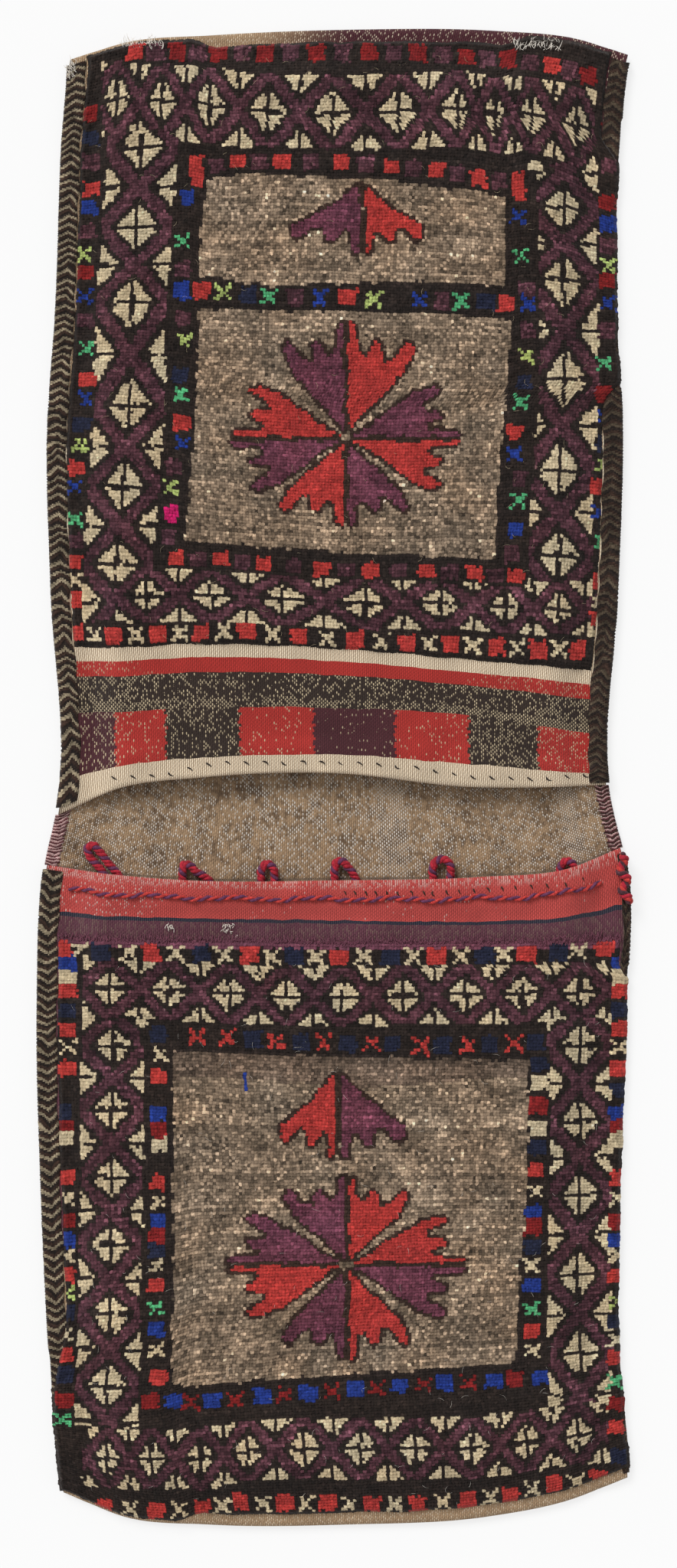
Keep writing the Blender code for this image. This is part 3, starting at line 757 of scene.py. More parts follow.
STAR_TEETH = (
    (0.05, 0.04), (1.0, 0.05), (0.96, 0.14), (0.76, 0.17), (0.70, 0.28), (0.84, 0.44), (0.80, 0.55),
    (0.66, 0.56), (0.68, 0.72), (0.84, 0.95), (0.76, 1.03), (0.58, 0.88), (0.36, 0.52), (0.14, 0.14),
)
ARROW_TEETH = (
    (0.0, 0.03), (1.0, 0.03), (0.98, 0.12), (0.70, 0.16), (0.68, 0.24), (0.84, 0.42), (0.82, 0.50),
    (0.66, 0.54), (0.62, 0.66), (0.80, 0.92), (0.74, 1.02), (0.60, 1.0), (0.30, 0.42),
)


def upper_pattern(chart):
    """The upper pouch: guards, border of flowers, a panel with an arrow, and the star's field."""
    chart.border([(153, 130), (212, 134), (274, 140), (350, 148), (434, 151), (521, 147), (598, 144), (646, 152), (693, 152), (753, 166)], 50, start=132, end=778)
    chart.border([(186, 194), (180, 299), (172, 396), (170, 532), (162, 637), (154, 737)], 46, upright=True, start=172, end=812)
    chart.border([(735, 273), (735, 366), (738, 497), (729, 616), (729, 726)], 46, upright=True, start=214, end=770)
    chart.border([(192, 778), (276, 778), (370, 783), (477, 789), (575, 788), (660, 794), (730, 796)], 34, start=150, end=786)
    everywhere = np.ones(chart.x.shape, bool)
    inner = inside(chart.x, chart.y, [(238, 200), (340, 194), (470, 198), (560, 202), (640, 214), (700, 232), (706, 420), (700, 560), (692, 660), (688, 766), (560, 760), (420, 757), (330, 750), (208, 742), (212, 640), (222, 560), (222, 420), (226, 330)])
    chart.fill(inner & everywhere, "ground")
    chart.guard("R178 D230 D285 D346 D413 D483 D546 D608 D664 R720 D768", [(178, 66), (285, 69), (413, 68), (546, 70), (664, 78), (720, 86), (768, 98)], between="P", high=12)
    chart.guard("R97 R148 R208 R263 R323 R391 R463 R531 R588 R647 R702 R755", [(97, 825), (148, 831), (323, 825), (391, 832), (463, 837), (647, 846), (755, 849)], between="C")
    chart.guard("D148 N180 P210 R245 b271 P301 L331 D355 B386 P418 G456 R495 B520 N554 L580 R611 B637 G679 P706 R733 C757 R783", [(135, 117), (245, 119), (330, 110), (380, 111), (495, 114), (580, 105), (640, 96), (783, 97)], upright=True, wide=11, high=10)
    chart.guard("D169 P215 D263 b291 P320 L345 D366 B396 P431 G475 D514 B544 N579 L607 R636 B667 G707 R759 C785 R810", [(169, 799), (262, 794), (396, 795), (475, 789), (607, 790), (636, 783), (707, 787), (759, 785), (810, 780)], upright=True, wide=11, high=10)
    chart.guard("R311 R369 R445 R510 R569 R624", [(257, 225), (311, 213), (447, 214), (510, 220), (569, 225), (624, 235)], between="P", high=10)
    chart.square("R", 257, 225, 9, 20)
    chart.square("R", 676, 246, 9, 20)
    chart.square("P", 284, 218, 11, 10)
    chart.square("P", 650, 238, 10, 10)
    chart.guard("b261 G318 P353 B381 P418 L447 N491 G517 R555 B581 P612 L638 M673 P703", [(260, 246), (318, 239), (381, 239), (447, 243), (491, 235), (580, 238), (612, 226), (673, 222), (705, 219)], upright=True, wide=10, high=10)
    chart.guard("B285 G337 P380 B400 P432 L467 N500 G526 R566 B594 P627 G655 b693 P724", [(285, 676), (337, 680), (400, 689), (432, 688), (467, 686), (526, 680), (566, 671), (594, 670), (627, 677), (693, 672), (724, 667)], upright=True, wide=10, high=10)
    chart.guard("R231 R288 R345 R420 R484 R557 R619 R673", [(231, 730), (288, 731), (345, 737), (420, 744), (484, 746), (557, 746), (673, 753)], between="P", high=9)
    chart.guard("b238 R264 L291 N324 G351 P384 B417 R454 L488 U518 B547 P578 G602 N633 R660 B689", [(238, 381), (291, 383), (351, 389), (454, 390), (547, 393), (689, 398)], wide=11, high=11)
    panel = inside(chart.x, chart.y, [(273, 236), (330, 229), (470, 236), (526, 240), (658, 258), (660, 300), (658, 376), (560, 370), (470, 371), (348, 375), (259, 363), (264, 282)])
    field = inside(chart.x, chart.y, [(262, 406), (557, 410), (668, 419), (660, 517), (651, 635), (645, 730), (468, 724), (353, 716), (242, 706), (254, 576)])
    chart.fill(panel | field, "camel")
    arrow = (472, 243)
    chart.petals([
        chart.petal(arrow, (0.0, 1), (-1, 0), 90, 91, "plum", ARROW_TEETH),
        chart.petal((475, 245), (0.02, 1), (1, 0), 88, 74, "red", ARROW_TEETH),
    ])
    star_at(chart, (452, 574), ((152, "plum", "red", 80, 86), (148, "plum", "red", 66, 64), (114, "plum", "red", 78, 84), (150, "plum", "red", 66, 66)))


def star_at(chart, centre, arms):
    """The eight-part star. Each arm gives its reach, the dyes of its clockwise and
    anticlockwise halves as in a turning wheel, and their spreads; arms are N, E, S, W."""
    ways = (((0, -1), (1, 0)), ((1, 0), (0, 1)), ((0, 1), (-1, 0)), ((-1, 0), (0, -1)))
    parts = []
    for (reach, first, second, first_spread, second_spread), (along, clockwise) in zip(arms, ways):
        backwards = (-clockwise[0], -clockwise[1])
        parts.append(chart.petal(centre, along, backwards, reach, first_spread, first, STAR_TEETH))
        parts.append(chart.petal(centre, along, clockwise, reach, second_spread, second, STAR_TEETH))
    chart.petals(parts)


def lower_pattern(chart):
    """The lower pouch: the same plan, with its own colours."""
    chart.fill(chart.v < 0.0590, "ridge purple")
    chart.border([(144, 1290), (221, 1293), (300, 1297), (374, 1301), (447, 1301), (527, 1300), (607, 1298), (681, 1296), (757, 1294)], 38, start=108, end=800)
    chart.border([(149, 1366), (147, 1448), (147, 1537), (145, 1624), (145, 1715), (140, 1809)], 42, upright=True, start=1330, end=1862)
    chart.border([(757, 1365), (757, 1464), (757, 1560), (754, 1664), (758, 1768)], 42, upright=True, start=1330, end=1840)
    chart.border([(141, 1904), (198, 1903), (262, 1904), (323, 1893), (397, 1889), (471, 1890), (542, 1890), (617, 1889), (687, 1881), (754, 1872)], 40, start=108, end=796)
    inner = inside(chart.x, chart.y, [(188, 1340), (440, 1343), (712, 1340), (720, 1500), (712, 1700), (718, 1816), (540, 1826), (380, 1838), (188, 1850), (184, 1700), (188, 1500)])
    chart.fill(inner, "ground")
    chart.guard("R82 C106 N133 C168 R199 C231 N264 C293 R326 C357 N385 C413 R444 C475 N509 C539 R570 C601 N632 C657 R687 N728 C754 R788", [(82, 1241), (200, 1244), (444, 1250), (620, 1248), (788, 1240)], wide=12, high=11)
    chart.guard("R135 R204 R264 R314 R372 R428 R486 R546 R612 R667 R723 R782", [(135, 1970), (204, 1974), (264, 1970), (314, 1962), (428, 1963), (486, 1966), (546, 1965), (612, 1959), (667, 1952), (723, 1938), (782, 1934)], between="C")
    chart.guard("b1260 K1276 R1295 N1320 R1345 C1368 R1396 U1424 N1453 D1472 K1489 U1514 R1539 C1566 D1596 b1621 C1642 R1667 L1688 N1715 C1743 R1771 N1796 D1828 G1854", [(1240, 88), (1400, 88), (1450, 83), (1560, 85), (1700, 86), (1771, 84), (1854, 82)], upright=True, wide=12, high=9.5)
    chart.guard("b1260 K1277 R1297 N1320 R1344 C1368 R1395 N1425 b1453 D1472 K1489 U1514 R1540 C1566 D1596 b1621 C1640 R1667 L1702 N1726 C1751 R1774 G1806 D1834 R1864 N1903", [(1260, 811), (1500, 809), (1621, 807), (1667, 807), (1751, 805), (1806, 804), (1903, 807)], upright=True, wide=12, high=9.5)
    chart.guard("N208 r258 r298 N332 r361 N392 r422 N454 r484 N511 r549 N577 r610 N640 r671 N698", [(208, 1350), (298, 1354), (361, 1359), (454, 1362), (577, 1365), (698, 1360)], high=11)
    chart.guard("C1377 R1406 U1430 b1454 D1474 K1494 U1516 R1543 C1568 b1593 D1612 N1631 C1651 R1677 G1707 b1734 C1761 R1796", [(1377, 210), (1454, 207), (1568, 208), (1631, 206), (1707, 204), (1796, 207)], upright=True, wide=11, high=9.5)
    chart.guard("N1388 K1413 D1443 K1472 N1499 R1527 C1556 b1583 D1601 N1626 C1650 b1677 G1707 R1736 C1763", [(1388, 704), (1500, 701), (1583, 697), (1626, 693), (1763, 694)], upright=True, wide=11, high=9.5)
    chart.guard("D197 b227 m249 b277 m308 b342 m372 b403 m434 b465 m493 b521 m552 b581 m612 b645 D671 b705", [(197, 1827), (249, 1829), (308, 1826), (372, 1819), (434, 1815), (493, 1810), (552, 1806), (645, 1801), (705, 1796)], high=10)
    field = inside(chart.x, chart.y, [(227, 1372), (460, 1379), (690, 1384), (688, 1500), (684, 1614), (677, 1656), (674, 1770), (663, 1779), (534, 1788), (460, 1791), (377, 1798), (250, 1809), (224, 1802), (227, 1656)])
    chart.fill(field, "camel")
    chart.fill(field & (chart.y < 1412 + 6 * np.sin(chart.x / 60)), "brown field")
    chart.square("b", 321, 1414, 2.2, 12)
    chart.petals([
        chart.petal((439, 1402), (0, 1), (-1, 0), 110, 72, "red", ARROW_TEETH),
        chart.petal((443, 1402), (0.01, 1), (1, 0), 111, 84, "plum", ARROW_TEETH),
    ])
    star_at(chart, (453, 1650), ((116, "plum", "red", 80, 78), (156, "red", "plum", 62, 66), (124, "red", "plum", 78, 80), (158, "red", "plum", 66, 62)))


# The pile


def margins(pouch, y):
    """How far in from each side edge the pile stops. It is wide beside the overcasting, and
    below 0 where the seam has rolled under and the pile hangs over it."""
    wide, over = MARGIN - 0.0004, -0.0028
    if pouch is LOWER:
        left = wide + (over - wide) * ease((-0.395 - y) / 0.09)
        return left, 0.0046 + (over - 0.0046) * ease((-0.112 - y) / 0.012)
    rolled = ease((y - 0.365) / 0.03) * ease((0.630 - y) / 0.02)
    return np.full_like(y, wide), wide + (over - wide) * rolled


def pile(pouch, pattern, seed):
    """The knotted face: a grid of knots, each a small mound. Height = the pile's own, with a
    groove between rows, a lesser one between columns, and lumps where the wool has clumped."""
    rng = np.random.default_rng(seed)
    start, end = pouch.bands["pile"], pouch.depth - PILE_TO_FOLD
    down = int(round((end - start) / KNOT))
    across = int(round((BAG_WIDTH - 2 * MARGIN + 0.006) / KNOT))
    rows, columns = 2 * down + 1, 2 * across + 1
    share = np.linspace(0, 1, columns)
    worn = ease((-0.50 - (share * 2 - 1)) / 0.12)
    if pouch is UPPER:
        worn = worn + ease((share * 2 - 1 - 0.56) / 0.12)
    v = start + np.linspace(0, 1, rows)[:, None] * (end + 0.0078 * worn - start)
    left, right = margins(pouch, pouch.mouth_y + pouch.way * v[:, 0])
    left, right = -1 + left / HALF, 1 - right / HALF
    u = left[:, None] + (right - left)[:, None] * share[None]
    wander = noise_grid(rng, rows, columns, 16) * 0.0005 + noise_grid(rng, rows, columns, 3) * 0.00030
    u = u + (wander + rng.normal(0, 0.00018, (rows, columns))) / HALF
    v = v + noise_grid(rng, rows, columns, 14) * 0.0004 + rng.normal(0, 0.00028, (rows, columns))
    ends = np.minimum(np.arange(rows), np.arange(rows)[::-1])[:, None]
    sides = np.minimum(np.arange(columns), np.arange(columns)[::-1])[None]
    rise = ease(np.minimum(ends / 3.0, sides / 3.0))
    mid_row = (np.arange(rows) % 2 == 1)[:, None]
    mid_column = (np.arange(columns) % 2 == 1)[None]
    mound = -0.00085 + 0.00100 * mid_row + 0.00060 * mid_column
    mound = mound + rng.normal(0, 0.00024, (rows, columns))
    lumps = noise_grid(rng, rows, columns, 5) * 0.00042 + noise_grid(rng, rows, columns, 24) * 0.00055
    # Painted shade: each knot's colour is darkest at its corners, darker along the grooves between rows and, less,
    # between columns, and lightest at its middle; the random factor on top is tone
    shade = 0.60 + 0.32 * mid_row + 0.20 * mid_column
    shade = shade * np.exp(rng.normal(0, 0.13, (rows, columns)) + noise_grid(rng, rows, columns, 5) * 0.05)
    height = -0.0007 + (PILE_HEIGHT + 0.0007 + mound + lumps) * rise
    knot_u, knot_v = u[1::2, 1::2], v[1::2, 1::2]
    place = pouch.place(knot_u, knot_v, 0.0)
    x = CHART_ORIGIN[0] + place[..., 0] / CHART
    y = CHART_ORIGIN[1] - place[..., 1] / CHART
    chart = Chart(x + noise_grid(rng, down, across, 3) * 1.1, y + noise_grid(rng, down, across, 3) * 1.1, rng)
    chart.v = knot_v
    pattern(chart)
    code = chart.code
    colour = DYE_LIGHT[code]
    spread = np.array([SPREAD.get(name, 0.18) for name in DYE_NAMES])[code]
    tone = rng.normal(0, 1, code.shape) * 0.75 + noise_grid(rng, down, across, 6) * 0.35
    rows_tone = rng.normal(0, 1, (down, 1)) * 0.35
    colour = colour * np.exp((tone + rows_tone) * spread)[..., None]
    lot = rng.random(code.shape)
    field = np.isin(code, [DYE_CODE["camel"], DYE_CODE["brown field"]])
    colour = colour * np.where(field & (lot < 0.10), 1.5, np.where(field & (lot > 0.86), 0.6, 1.0))[..., None]
    warmth = noise_grid(rng, down, across, 9) * 0.02
    colour = colour * np.stack([1 + warmth, np.ones_like(warmth), 1 - warmth], -1)
    mound_dye = np.isin(code, [DYE_CODE[n] for n in ("red", "cream", "green", "lime", "magenta", "camel", "plum")])
    height[1::2, 1::2] += 0.00012 * mound_dye
    points = pouch.place(u, v, pouch.top(u, v) + height)
    halves = (("mouth_side", 0, down // 2), ("fold_side", down // 2, down))
    for name, first, last in halves:
        part = points[2 * first : 2 * last + 1]
        faces = grid_faces(*part.shape[:2])
        per_face = np.repeat(np.repeat(colour[first:last], 2, 0), 2, 1).reshape(-1, 3)
        # the painted groove shade of these rows, one factor per vertex
        dark = shade[2 * first : 2 * last + 1].ravel()
        piece = mesh_piece(f"{pouch.name}_pile_{name}", part, faces, closed=False, colours=per_face, shade=dark)
        piece.data.materials.append(PILE)
        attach(piece, "root")
        yield piece


# Seams


def wrap(name, row, high, low, side, cover, lap, wall, pitch, slant, dyes, length):
    """Yarn wrapped round the edge. The section runs from the top lip over the edge to the lower
    lip; the yarns are ridges whose phase = distance along / pitch + slant x distance from the
    middle of the lap, so that its two halves lean against each other."""
    rows = len(length)
    a = np.linspace(0, 1, 34)
    bend = math.pi * np.clip((a - 0.42) / 0.22, 0, 1)
    top = np.clip(1 - a / 0.42, 0, 1)[None] * cover[:, None]
    bottom = np.clip((a - 0.64) / 0.36, 0, 1)[None] * lap
    inset = top + bottom - np.sin(bend)[None] * 0.0012
    mid, half = (high + low)[:, None] / 2, (high - low)[:, None] / 2
    z = mid + half * np.cos(bend)[None]
    across = np.concatenate([np.zeros((rows, 1)), np.cumsum(np.hypot(np.diff(inset, axis=1), np.diff(z, axis=1)), 1)], 1)
    column = across / cover[:, None]
    from_middle = np.abs(np.minimum(column, 1.6) - 0.5)
    phase = length[:, None] / pitch + slant * from_middle
    rng = np.random.default_rng(len(name) * 7 + rows)
    phase = phase + 0.07 * np.sin(length[:, None] * 190 + column * 2)
    phase = phase + noise_grid(rng, rows, len(a), 9) * 0.16 + noise_grid(rng, rows, len(a), 40) * 0.22
    ridge = np.abs(np.sin(math.pi * phase * len(dyes)))
    seam = 1 - np.exp(-((column - 0.5) ** 2) / 0.006) if slant else 1.0
    lips = ease(np.minimum(a, 1 - a) / 0.05)[None]
    wall = np.broadcast_to(wall, rows)[:, None]
    thick = CLEARANCE + wall * (0.35 + 0.75 * ridge * (0.45 + 0.55 * seam)) * (0.15 + 0.85 * lips)
    step_d, step_z = np.gradient(inset, axis=1), np.gradient(z, axis=1)
    size = np.hypot(step_d, step_z) + 1e-9
    d = inset + thick * step_z / size
    z = np.maximum(z - thick * step_d / size, 0.0)
    u = side * (1 - np.maximum(d, 0) / HALF)
    y = row(u)
    points = np.stack([plan_x(u, y) - side * np.minimum(d, 0), y, z], -1)
    faces = grid_faces(*points.shape[:2])
    pick = np.floor(phase * len(dyes)).astype(int) % len(dyes)
    tone = np.exp(rng.normal(0, 0.16, pick.shape) + noise_grid(rng, *pick.shape, 6) * 0.22)
    colour = np.array([DYE_LIGHT[DYE_CODE[n]] for n in dyes])[pick] * tone[..., None]
    per_face = colour[:-1, :-1].reshape(-1, 3)
    # Painted shade: the yarn is darker between its ridges and in the groove along the middle of the lap, where its two
    # halves meet
    dark = (0.45 + 0.65 * ridge * (0.6 + 0.4 * seam)).ravel()
    piece = mesh_piece(name, points, faces, closed=False, colours=per_face, shade=dark)
    piece.data.materials.append(YARN)
    return piece


def seam(pouch, side, name):
    """The overcast seam of one side: dark goat hair with a cream yarn in each repeat."""
    v = np.arange(0.0032, pouch.depth - 0.006, 0.0012)
    edge = np.full_like(v, float(side))
    high = pouch.top(edge, v)
    low = np.full_like(v, LIFT)
    y = pouch.y(edge, v)
    left, right = margins(pouch, y)
    bare = ease((left if side < 0 else right) / 0.004)
    tucked = side > 0 and pouch is LOWER
    cover = np.full_like(v, TUCKED_COVER if tucked else BINDING_COVER)
    cover = cover + 0.0006 * np.sin(v * 210) + 0.0005 * np.sin(v * 87)

    def row(u):
        return pouch.y(u, np.broadcast_to(v[:, None], u.shape))

    dyes = ("umber", "straw", "ground") if side < 0 else ("ground", "khaki", "umber")
    wall = BINDING_WALL * (0.35 + 0.65 * bare)
    piece = wrap(name + "_stitches", row, high, low, side, cover, BINDING_UNDER, wall, 0.0080, 1.1, dyes, v)
    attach(piece, "root")
    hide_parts(name)
    return piece


def whipping(side, name):
    """The bridge's whipped edge: maroon and pale threads laid close, all leaning one way."""
    share = np.linspace(0.0, 1.0, 110)
    high = np.full_like(share, LIFT + CLOTH)
    low = np.full_like(share, LIFT)
    cover = WHIPPING_COVER + 0.0009 * np.sin(share * 90) + 0.0006 * np.sin(share * 37)

    def row(u):
        flat = np.zeros_like(u)
        return UPPER.y(u, flat) * (1 - share[:, None]) + LOWER.y(u, flat) * share[:, None]

    dyes = ("maroon", "pink") if side < 0 else ("umber", "pink", "maroon")
    piece = wrap(name + "_threads", row, high, low, side, cover, WHIPPING_COVER, WHIPPING_WALL, 0.0036, 1.0, dyes, share * 0.058)
    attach(piece, "root")
    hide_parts(name)
    return piece


# Cords


def smooth_path(points, count):
    """A cubic through the points, evenly divided by length."""
    points = np.array(points, float)
    along = np.append(0, np.cumsum(np.linalg.norm(np.diff(points, axis=0), axis=1)))
    fine = weights(along, np.linspace(0, along[-1], count * 4)) @ points
    length = np.append(0, np.cumsum(np.linalg.norm(np.diff(fine, axis=0), axis=1)))
    return np.stack([np.interp(np.linspace(0, length[-1], count), length, fine[:, k]) for k in range(3)], -1)


def plied_cord(name, path, diameter, pitch, dyes, seed, plies=3):
    """Plies that wind round the path: each is a tube whose centre turns once every pitch."""
    rng = np.random.default_rng(seed)
    ahead = np.gradient(path, axis=0)
    length = np.append(0, np.cumsum(np.linalg.norm(np.diff(path, axis=0), axis=1)))
    ahead /= np.linalg.norm(ahead, axis=1, keepdims=True)
    beside = np.cross(ahead, (0.03, 0.02, 1.0))
    beside /= np.linalg.norm(beside, axis=1, keepdims=True)
    above = np.cross(beside, ahead)
    strand = diameter * (0.27 if plies == 2 else 0.245)
    centres, sizes = [], []
    for k in range(plies):
        turn = 2 * math.pi * (length / pitch + k / plies)
        out = (diameter / 2 - strand) * (1 + 0.1 * np.sin(length * 900 + k))
        centres.append(path + beside * (out * np.cos(turn))[:, None] + above * (out * np.sin(turn))[:, None])
        sizes.append(strand * (1 + 0.08 * np.sin(length * 1300 + 2 * k)))
    points, faces, body, ends = tubes(np.array(centres), np.array(sizes), sides=8)
    colour = np.array([DYE_LIGHT[DYE_CODE[dyes[k % len(dyes)]]] for k in range(plies)])
    body_colour = np.repeat(colour, body, 0)
    end_colour = np.repeat(colour, ends, 0)
    per_face = np.concatenate([body_colour, end_colour, end_colour])
    per_face = per_face * np.exp(rng.normal(0, 0.16, (len(per_face), 1)))
    piece = mesh_piece(name, points, faces, colours=np.clip(per_face, 0, 1))
    piece.data.materials.append(YARN)
    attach(piece, "root")
    return piece


def charted(x, y, z):
    """A place on the chart, in metres."""
    return ((x - CHART_ORIGIN[0]) * CHART, (CHART_ORIGIN[1] - y) * CHART, z)


def closure_loops():
    """Six bights of plied cord, from inside the lower mouth out over the bridge and back."""
    rest = CLOTH + 0.0006 + LOOP_CORD / 2
    rise = rest + 0.0028
    routes = (
        ((146, 1172), (140, 1150), (127, 1131), (115, 1116), (114, 1107), (121, 1104), (129, 1112), (141, 1128), (156, 1147), (160, 1172)),
        ((238, 1174), (238, 1152), (238, 1138), (240, 1130), (247, 1130), (255, 1138), (266, 1145), (274, 1152), (276, 1172)),
        ((341, 1172), (341, 1150), (341, 1137), (345, 1130), (352, 1129), (357, 1135), (358, 1150), (358, 1172)),
        ((437, 1172), (437, 1148), (437, 1134), (440, 1126), (447, 1125), (454, 1132), (462, 1143), (466, 1154), (466, 1172)),
        ((567, 1172), (566, 1148), (565, 1134), (570, 1125), (578, 1122), (586, 1126), (589, 1136), (588, 1150), (587, 1172)),
        ((735, 1168), (734, 1146), (732, 1135), (735, 1128), (741, 1125), (748, 1128), (751, 1136), (751, 1148), (750, 1168)),
    )
    for number, route in enumerate(routes, 1):
        tip = min(y for _, y in route)
        points = [charted(x, y, rest + (rise - rest) * max(0, 1 - abs(y - tip) / 22)) for x, y in route]
        name = f"closure_loop_{number}_plies"
        piece = plied_cord(name, smooth_path(points, 90), LOOP_CORD, 0.0118, ("loop red", "loop purple", "loop red"), number)
        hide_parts(f"closure_loop_{number}")


def mouth_cord():
    """The two-ply cord couched along the lower mouth's hem: it dips in and out of the cloth."""
    u = np.linspace(-(1 - 0.0205 / HALF), 1 - 0.0205 / HALF, 420)
    v = 0.0160 + 0.0011 * np.sin(u * 23) + 0.0006 * np.sin(u * 61)
    z = LOWER.top(u, v) + 0.0002 + MOUTH_CORD * 0.34 + 0.0005 * np.sin(u * 88)
    path = LOWER.place(u, v, z)
    piece = plied_cord("mouth_cord_plies", path, MOUTH_CORD * 0.92, 0.0150, ("loop purple", "red"), 11, plies=2)
    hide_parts("mouth_cord")


def corner_tie():
    """The cord's end, wound twice over the seam at the corner and down its side."""
    turn = np.linspace(0, 1, 60)
    v = 0.004 + 0.030 * turn
    side = 1 - TUCKED_COVER / 2 / HALF
    u = side + (0.0030 / HALF) * np.sin(turn * 15)
    z = LOWER.top(np.full_like(v, side), v) + BINDING_WALL + 0.0045 + 0.0016 * np.cos(turn * 15)
    piece = plied_cord("corner_tie_plies", LOWER.place(u, v, z), TIE_CORD, 0.011, ("loop red", "aubergine", "red"), 12)
    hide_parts("corner_tie")


# Loose threads


def threads(name, starts, ends, lift, radius, dye_name, seed, steps=7):
    """Many fine threads, each from its start to its end with a bow to one side and a small lift."""
    rng = np.random.default_rng(seed)
    starts, ends = np.asarray(starts, float), np.asarray(ends, float)
    t = np.linspace(0, 1, steps)[None, :, None]
    paths = starts[:, None] * (1 - t) + ends[:, None] * t
    way = ends - starts
    beside = np.stack([-way[:, 1], way[:, 0], 0 * way[:, 0]], -1)
    bow = rng.normal(0, 0.16, (len(starts), 1, 1))
    paths = paths + beside[:, None] * bow * np.sin(math.pi * t)
    paths[..., 2] += (lift * np.abs(rng.normal(1, 0.4, (len(starts), 1)))) * np.sin(math.pi * t[..., 0])
    points, faces, body, caps = tubes(paths, radius, sides=4, taper=True)
    tone = np.exp(rng.normal(0, 0.12, (len(starts), 1)))
    colour = DYE_LIGHT[DYE_CODE[dye_name]] * tone
    per_face = np.concatenate([np.repeat(colour, body, 0), np.repeat(colour, caps, 0), np.repeat(colour, caps, 0)])
    piece = mesh_piece(name, points, faces, colours=np.clip(per_face, 0, 1))
    piece.data.materials.append(YARN)
    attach(piece, "root")
    return piece


def on_face(pouch, x, y, above):
    """The point over a chart place on the pouch's pile or cloth, found by two corrections."""
    px, py, _ = charted(np.asarray(x, float), np.asarray(y, float), 0.0)
    v = np.clip(pouch.way * (py - pouch.mouth_y), 0.004, pouch.depth - 0.002)
    u = np.clip(px / HALF, -0.99, 0.99)
    for _ in range(4):
        now = pouch.place(u, v, 0.0)
        u = np.clip(u + (px - now[..., 0]) / HALF, -0.999, 0.999)
        v = np.clip(v + pouch.way * (py - now[..., 1]), 0.003, pouch.depth - 0.001)
    piled = ease((v - pouch.bands["pile"]) / 0.003) * ease((pouch.depth - PILE_TO_FOLD - v) / 0.003)
    piled = piled * ease((edge_distance(u) - MARGIN) / 0.003)
    return pouch.place(u, v, pouch.top(u, v) + PILE_HEIGHT * piled + above)


def frayed_warps():
    """Bare white warps where the upper fold has worn through, and at its corners."""
    rng = np.random.default_rng(21)
    x = np.concatenate([rng.uniform(160, 213, 60), rng.uniform(84, 100, 34), rng.uniform(672, 733, 60)])
    y = np.concatenate([rng.uniform(50, 60, 60), rng.uniform(78, 98, 34), rng.uniform(50, 62, 60)])
    dx = np.concatenate([rng.normal(-2, 3, 60), rng.normal(-3, 3, 34), rng.normal(2, 4, 60)])
    dy = np.concatenate([rng.normal(-9, 3, 60), rng.normal(-7, 4, 34), rng.normal(-8, 3, 60)])
    starts = on_face(UPPER, x, y + 5, 0.0030)
    ends = starts + np.stack([dx * CHART, -dy * CHART, rng.uniform(-0.003, 0.001, len(x))], -1)
    return threads("frayed_warps", starts, ends, 0.0008, 0.00034, "pale", 22)


def hem_stitches_and_shade_marks():
    """Dark sewing stitches along the upper hem; along the lower hem, short dark threads are painted shade for the small
    holes and gaps along the cord's couching.
    """
    x = np.linspace(150, 790, 27)
    hem_y = np.interp(x, (150, 211, 281, 458, 537, 617, 698, 790), (1022, 1020, 1003, 1003, 1008, 1021, 1024, 1016)) - 6
    starts = on_face(UPPER, x - 4.2, hem_y - 2.6, 0.00015)
    ends = on_face(UPPER, x + 4.2, hem_y + 2.8, 0.00015)
    threads("upper_hem_stitches", starts, ends, 0.0004, 0.0009, "ground", 31, steps=5)
    # Painted shade: dark umber marks for the small holes and gaps along the lower hem's cord couching
    x = np.array([450, 463, 478, 490, 506, 521, 536, 553, 566, 584, 600, 618, 636, 655, 673, 693, 714, 738, 762])
    hem_y = np.interp(x, (450, 564, 617, 671, 738, 762), (1167, 1167, 1164, 1160, 1156, 1149))
    starts = on_face(LOWER, x - 1.6, hem_y - 4.0, 0.00015)
    ends = on_face(LOWER, x + 2.0, hem_y + 3.0, 0.00015)
    threads("lower_hem_shade_marks", starts, ends, 0.0003, 0.0010, "umber", 32, steps=5)


def mouth_fringe():
    """The shaggy first row of the lower pile, lying towards the mouth, and two tufts of lint."""
    rng = np.random.default_rng(51)
    count = 1300
    u = rng.uniform(-0.94, 0.975, count)
    v = rng.uniform(0.0520, 0.0580, count)
    drift = rng.normal(0, 0.006, count)
    starts = LOWER.place(u, v, LOWER.top(u, v) + rng.uniform(0.0020, 0.0042, count))
    ends = LOWER.place(u + drift, v - rng.uniform(0.0020, 0.0060, count), 0.0)
    ends[:, 2] = LOWER.top(u, v) + rng.uniform(0.0006, 0.0030, count)
    threads("mouth_fringe", starts, ends, 0.0006, 0.00050, "ridge purple", 52, steps=5)
    x = np.concatenate([rng.normal(222, 3, 16), rng.normal(297, 4, 24)])
    y = np.concatenate([rng.normal(1211, 2.5, 16), rng.normal(1212, 4, 24)])
    way = rng.uniform(0, 2 * math.pi, 40)
    starts = on_face(LOWER, x, y, 0.0006)
    ends = on_face(LOWER, x + 5 * np.cos(way), y + 5 * np.sin(way), 0.0010)
    threads("lint", starts, ends, 0.0012, 0.00040, "pale", 53, steps=5)


def stray_hairs():
    """Pale lint and hairs that lie over the pile."""
    rng = np.random.default_rng(41)
    for pouch, low, high in ((UPPER, 60, 850), (LOWER, 1245, 1965)):
        count = 260
        x, y = rng.uniform(95, 790, count), rng.uniform(low, high, count)
        angle, size = rng.uniform(0, 2 * math.pi, count), rng.uniform(4, 13, count)
        starts = on_face(pouch, x, y, 0.0002)
        ends = on_face(pouch, x + np.cos(angle) * size, y + np.sin(angle) * size, 0.0003)
        name = "cream" if pouch is UPPER else "pale"
        threads(f"{pouch.name}_stray_hairs", starts, ends, 0.0010, 0.00009, name, 42)


# The room


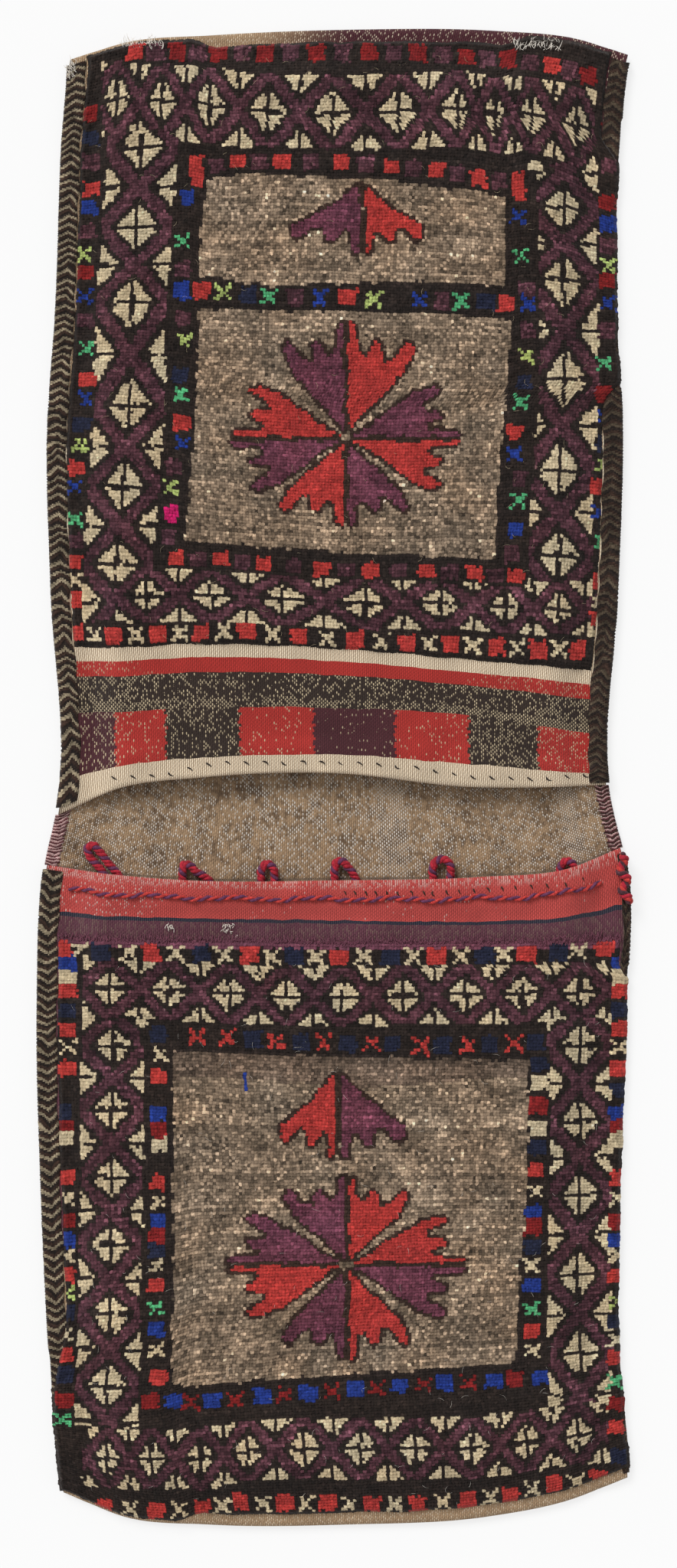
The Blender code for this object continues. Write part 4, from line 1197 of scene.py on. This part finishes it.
def room():
    """A pale floor, one broad lamp and an even sky, at the level where a colour looks as written."""
    size = 4.0
    corners = np.array([(-size, -size, -0.0003), (size, -size, -0.0003), (size, size, -0.0003), (-size, size, -0.0003)])
    floor = mesh_piece("floor", corners, np.array([[0, 1, 2, 3]]), closed=False)
    f = Finish("pale floor", 0.9, 0.0)
    f.shader.inputs["Base Color"].default_value = (0.93, 0.93, 0.93, 1)
    white = f.node("Emission", {}, {0: (1, 1, 1, 1), 1: 1.0})
    ray = f.node("LightPath", {}, output=0)
    lit = f.node("MixShader", {}, {0: ray * 0.75, 1: Wire(f, f.shader.outputs[0]), 2: white})
    f.tree.links.new(lit.socket, f.tree.nodes["Material Output"].inputs[0])
    floor.data.materials.append(f.material)
    floor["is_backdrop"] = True
    lamp = bpy.data.lights.new("lamp", "SUN")
    lamp.energy = 1.95
    lamp.angle = math.radians(28)
    sun = bpy.data.objects.new("lamp", lamp)
    sun.rotation_euler = (math.radians(-38), math.radians(-30), 0)
    bpy.context.scene.collection.objects.link(sun)
    world = bpy.data.worlds.new("sky")
    world.use_nodes = True
    world.node_tree.nodes["Background"].inputs[0].default_value = (1, 1, 1, 1)
    world.node_tree.nodes["Background"].inputs[1].default_value = 0.52
    bpy.context.scene.world = world
    bpy.context.scene.view_settings.view_transform = "Standard"


def camera():
    """Straight above the bag, far off through a long lens."""
    distance, frame_height = 3.4, 2048 * CHART
    lens = bpy.data.cameras.new("camera")
    lens.sensor_fit = "VERTICAL"
    lens.sensor_height = 24.0
    lens.lens = 24.0 * distance / frame_height
    lens.clip_end = 50
    eye = bpy.data.objects.new("camera", lens)
    eye.location = (0.0, (CHART_ORIGIN[1] - 1024) * CHART, distance + 0.015)
    bpy.context.scene.collection.objects.link(eye)
    bpy.context.scene.camera = eye


PILE = dyed_wool("knotted wool", 0.0011, 0.0007)
YARN = dyed_wool("spun yarn", 0.0009, 0.0005, sheen=0.1)

room()
camera()
cloth = strip()
knots = list(pile(UPPER, upper_pattern, 5)) + list(pile(LOWER, lower_pattern, 6))
seams = [
    seam(UPPER, -1, "seam_binding_upper_left"),
    seam(UPPER, 1, "seam_binding_upper_right"),
    seam(LOWER, -1, "seam_binding_lower_left"),
    seam(LOWER, 1, "seam_binding_lower_right"),
    whipping(-1, "bridge_whipping_left"),
    whipping(1, "bridge_whipping_right"),
]
closure_loops()
mouth_cord()
corner_tie()
frayed_warps()
hem_stitches_and_shade_marks()
mouth_fringe()
stray_hairs()
knots + seams

boxes = {"cad": cad_box, "visual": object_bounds()}
{key: [[float(c) for c in corner] for corner in box] for key, box in boxes.items()}
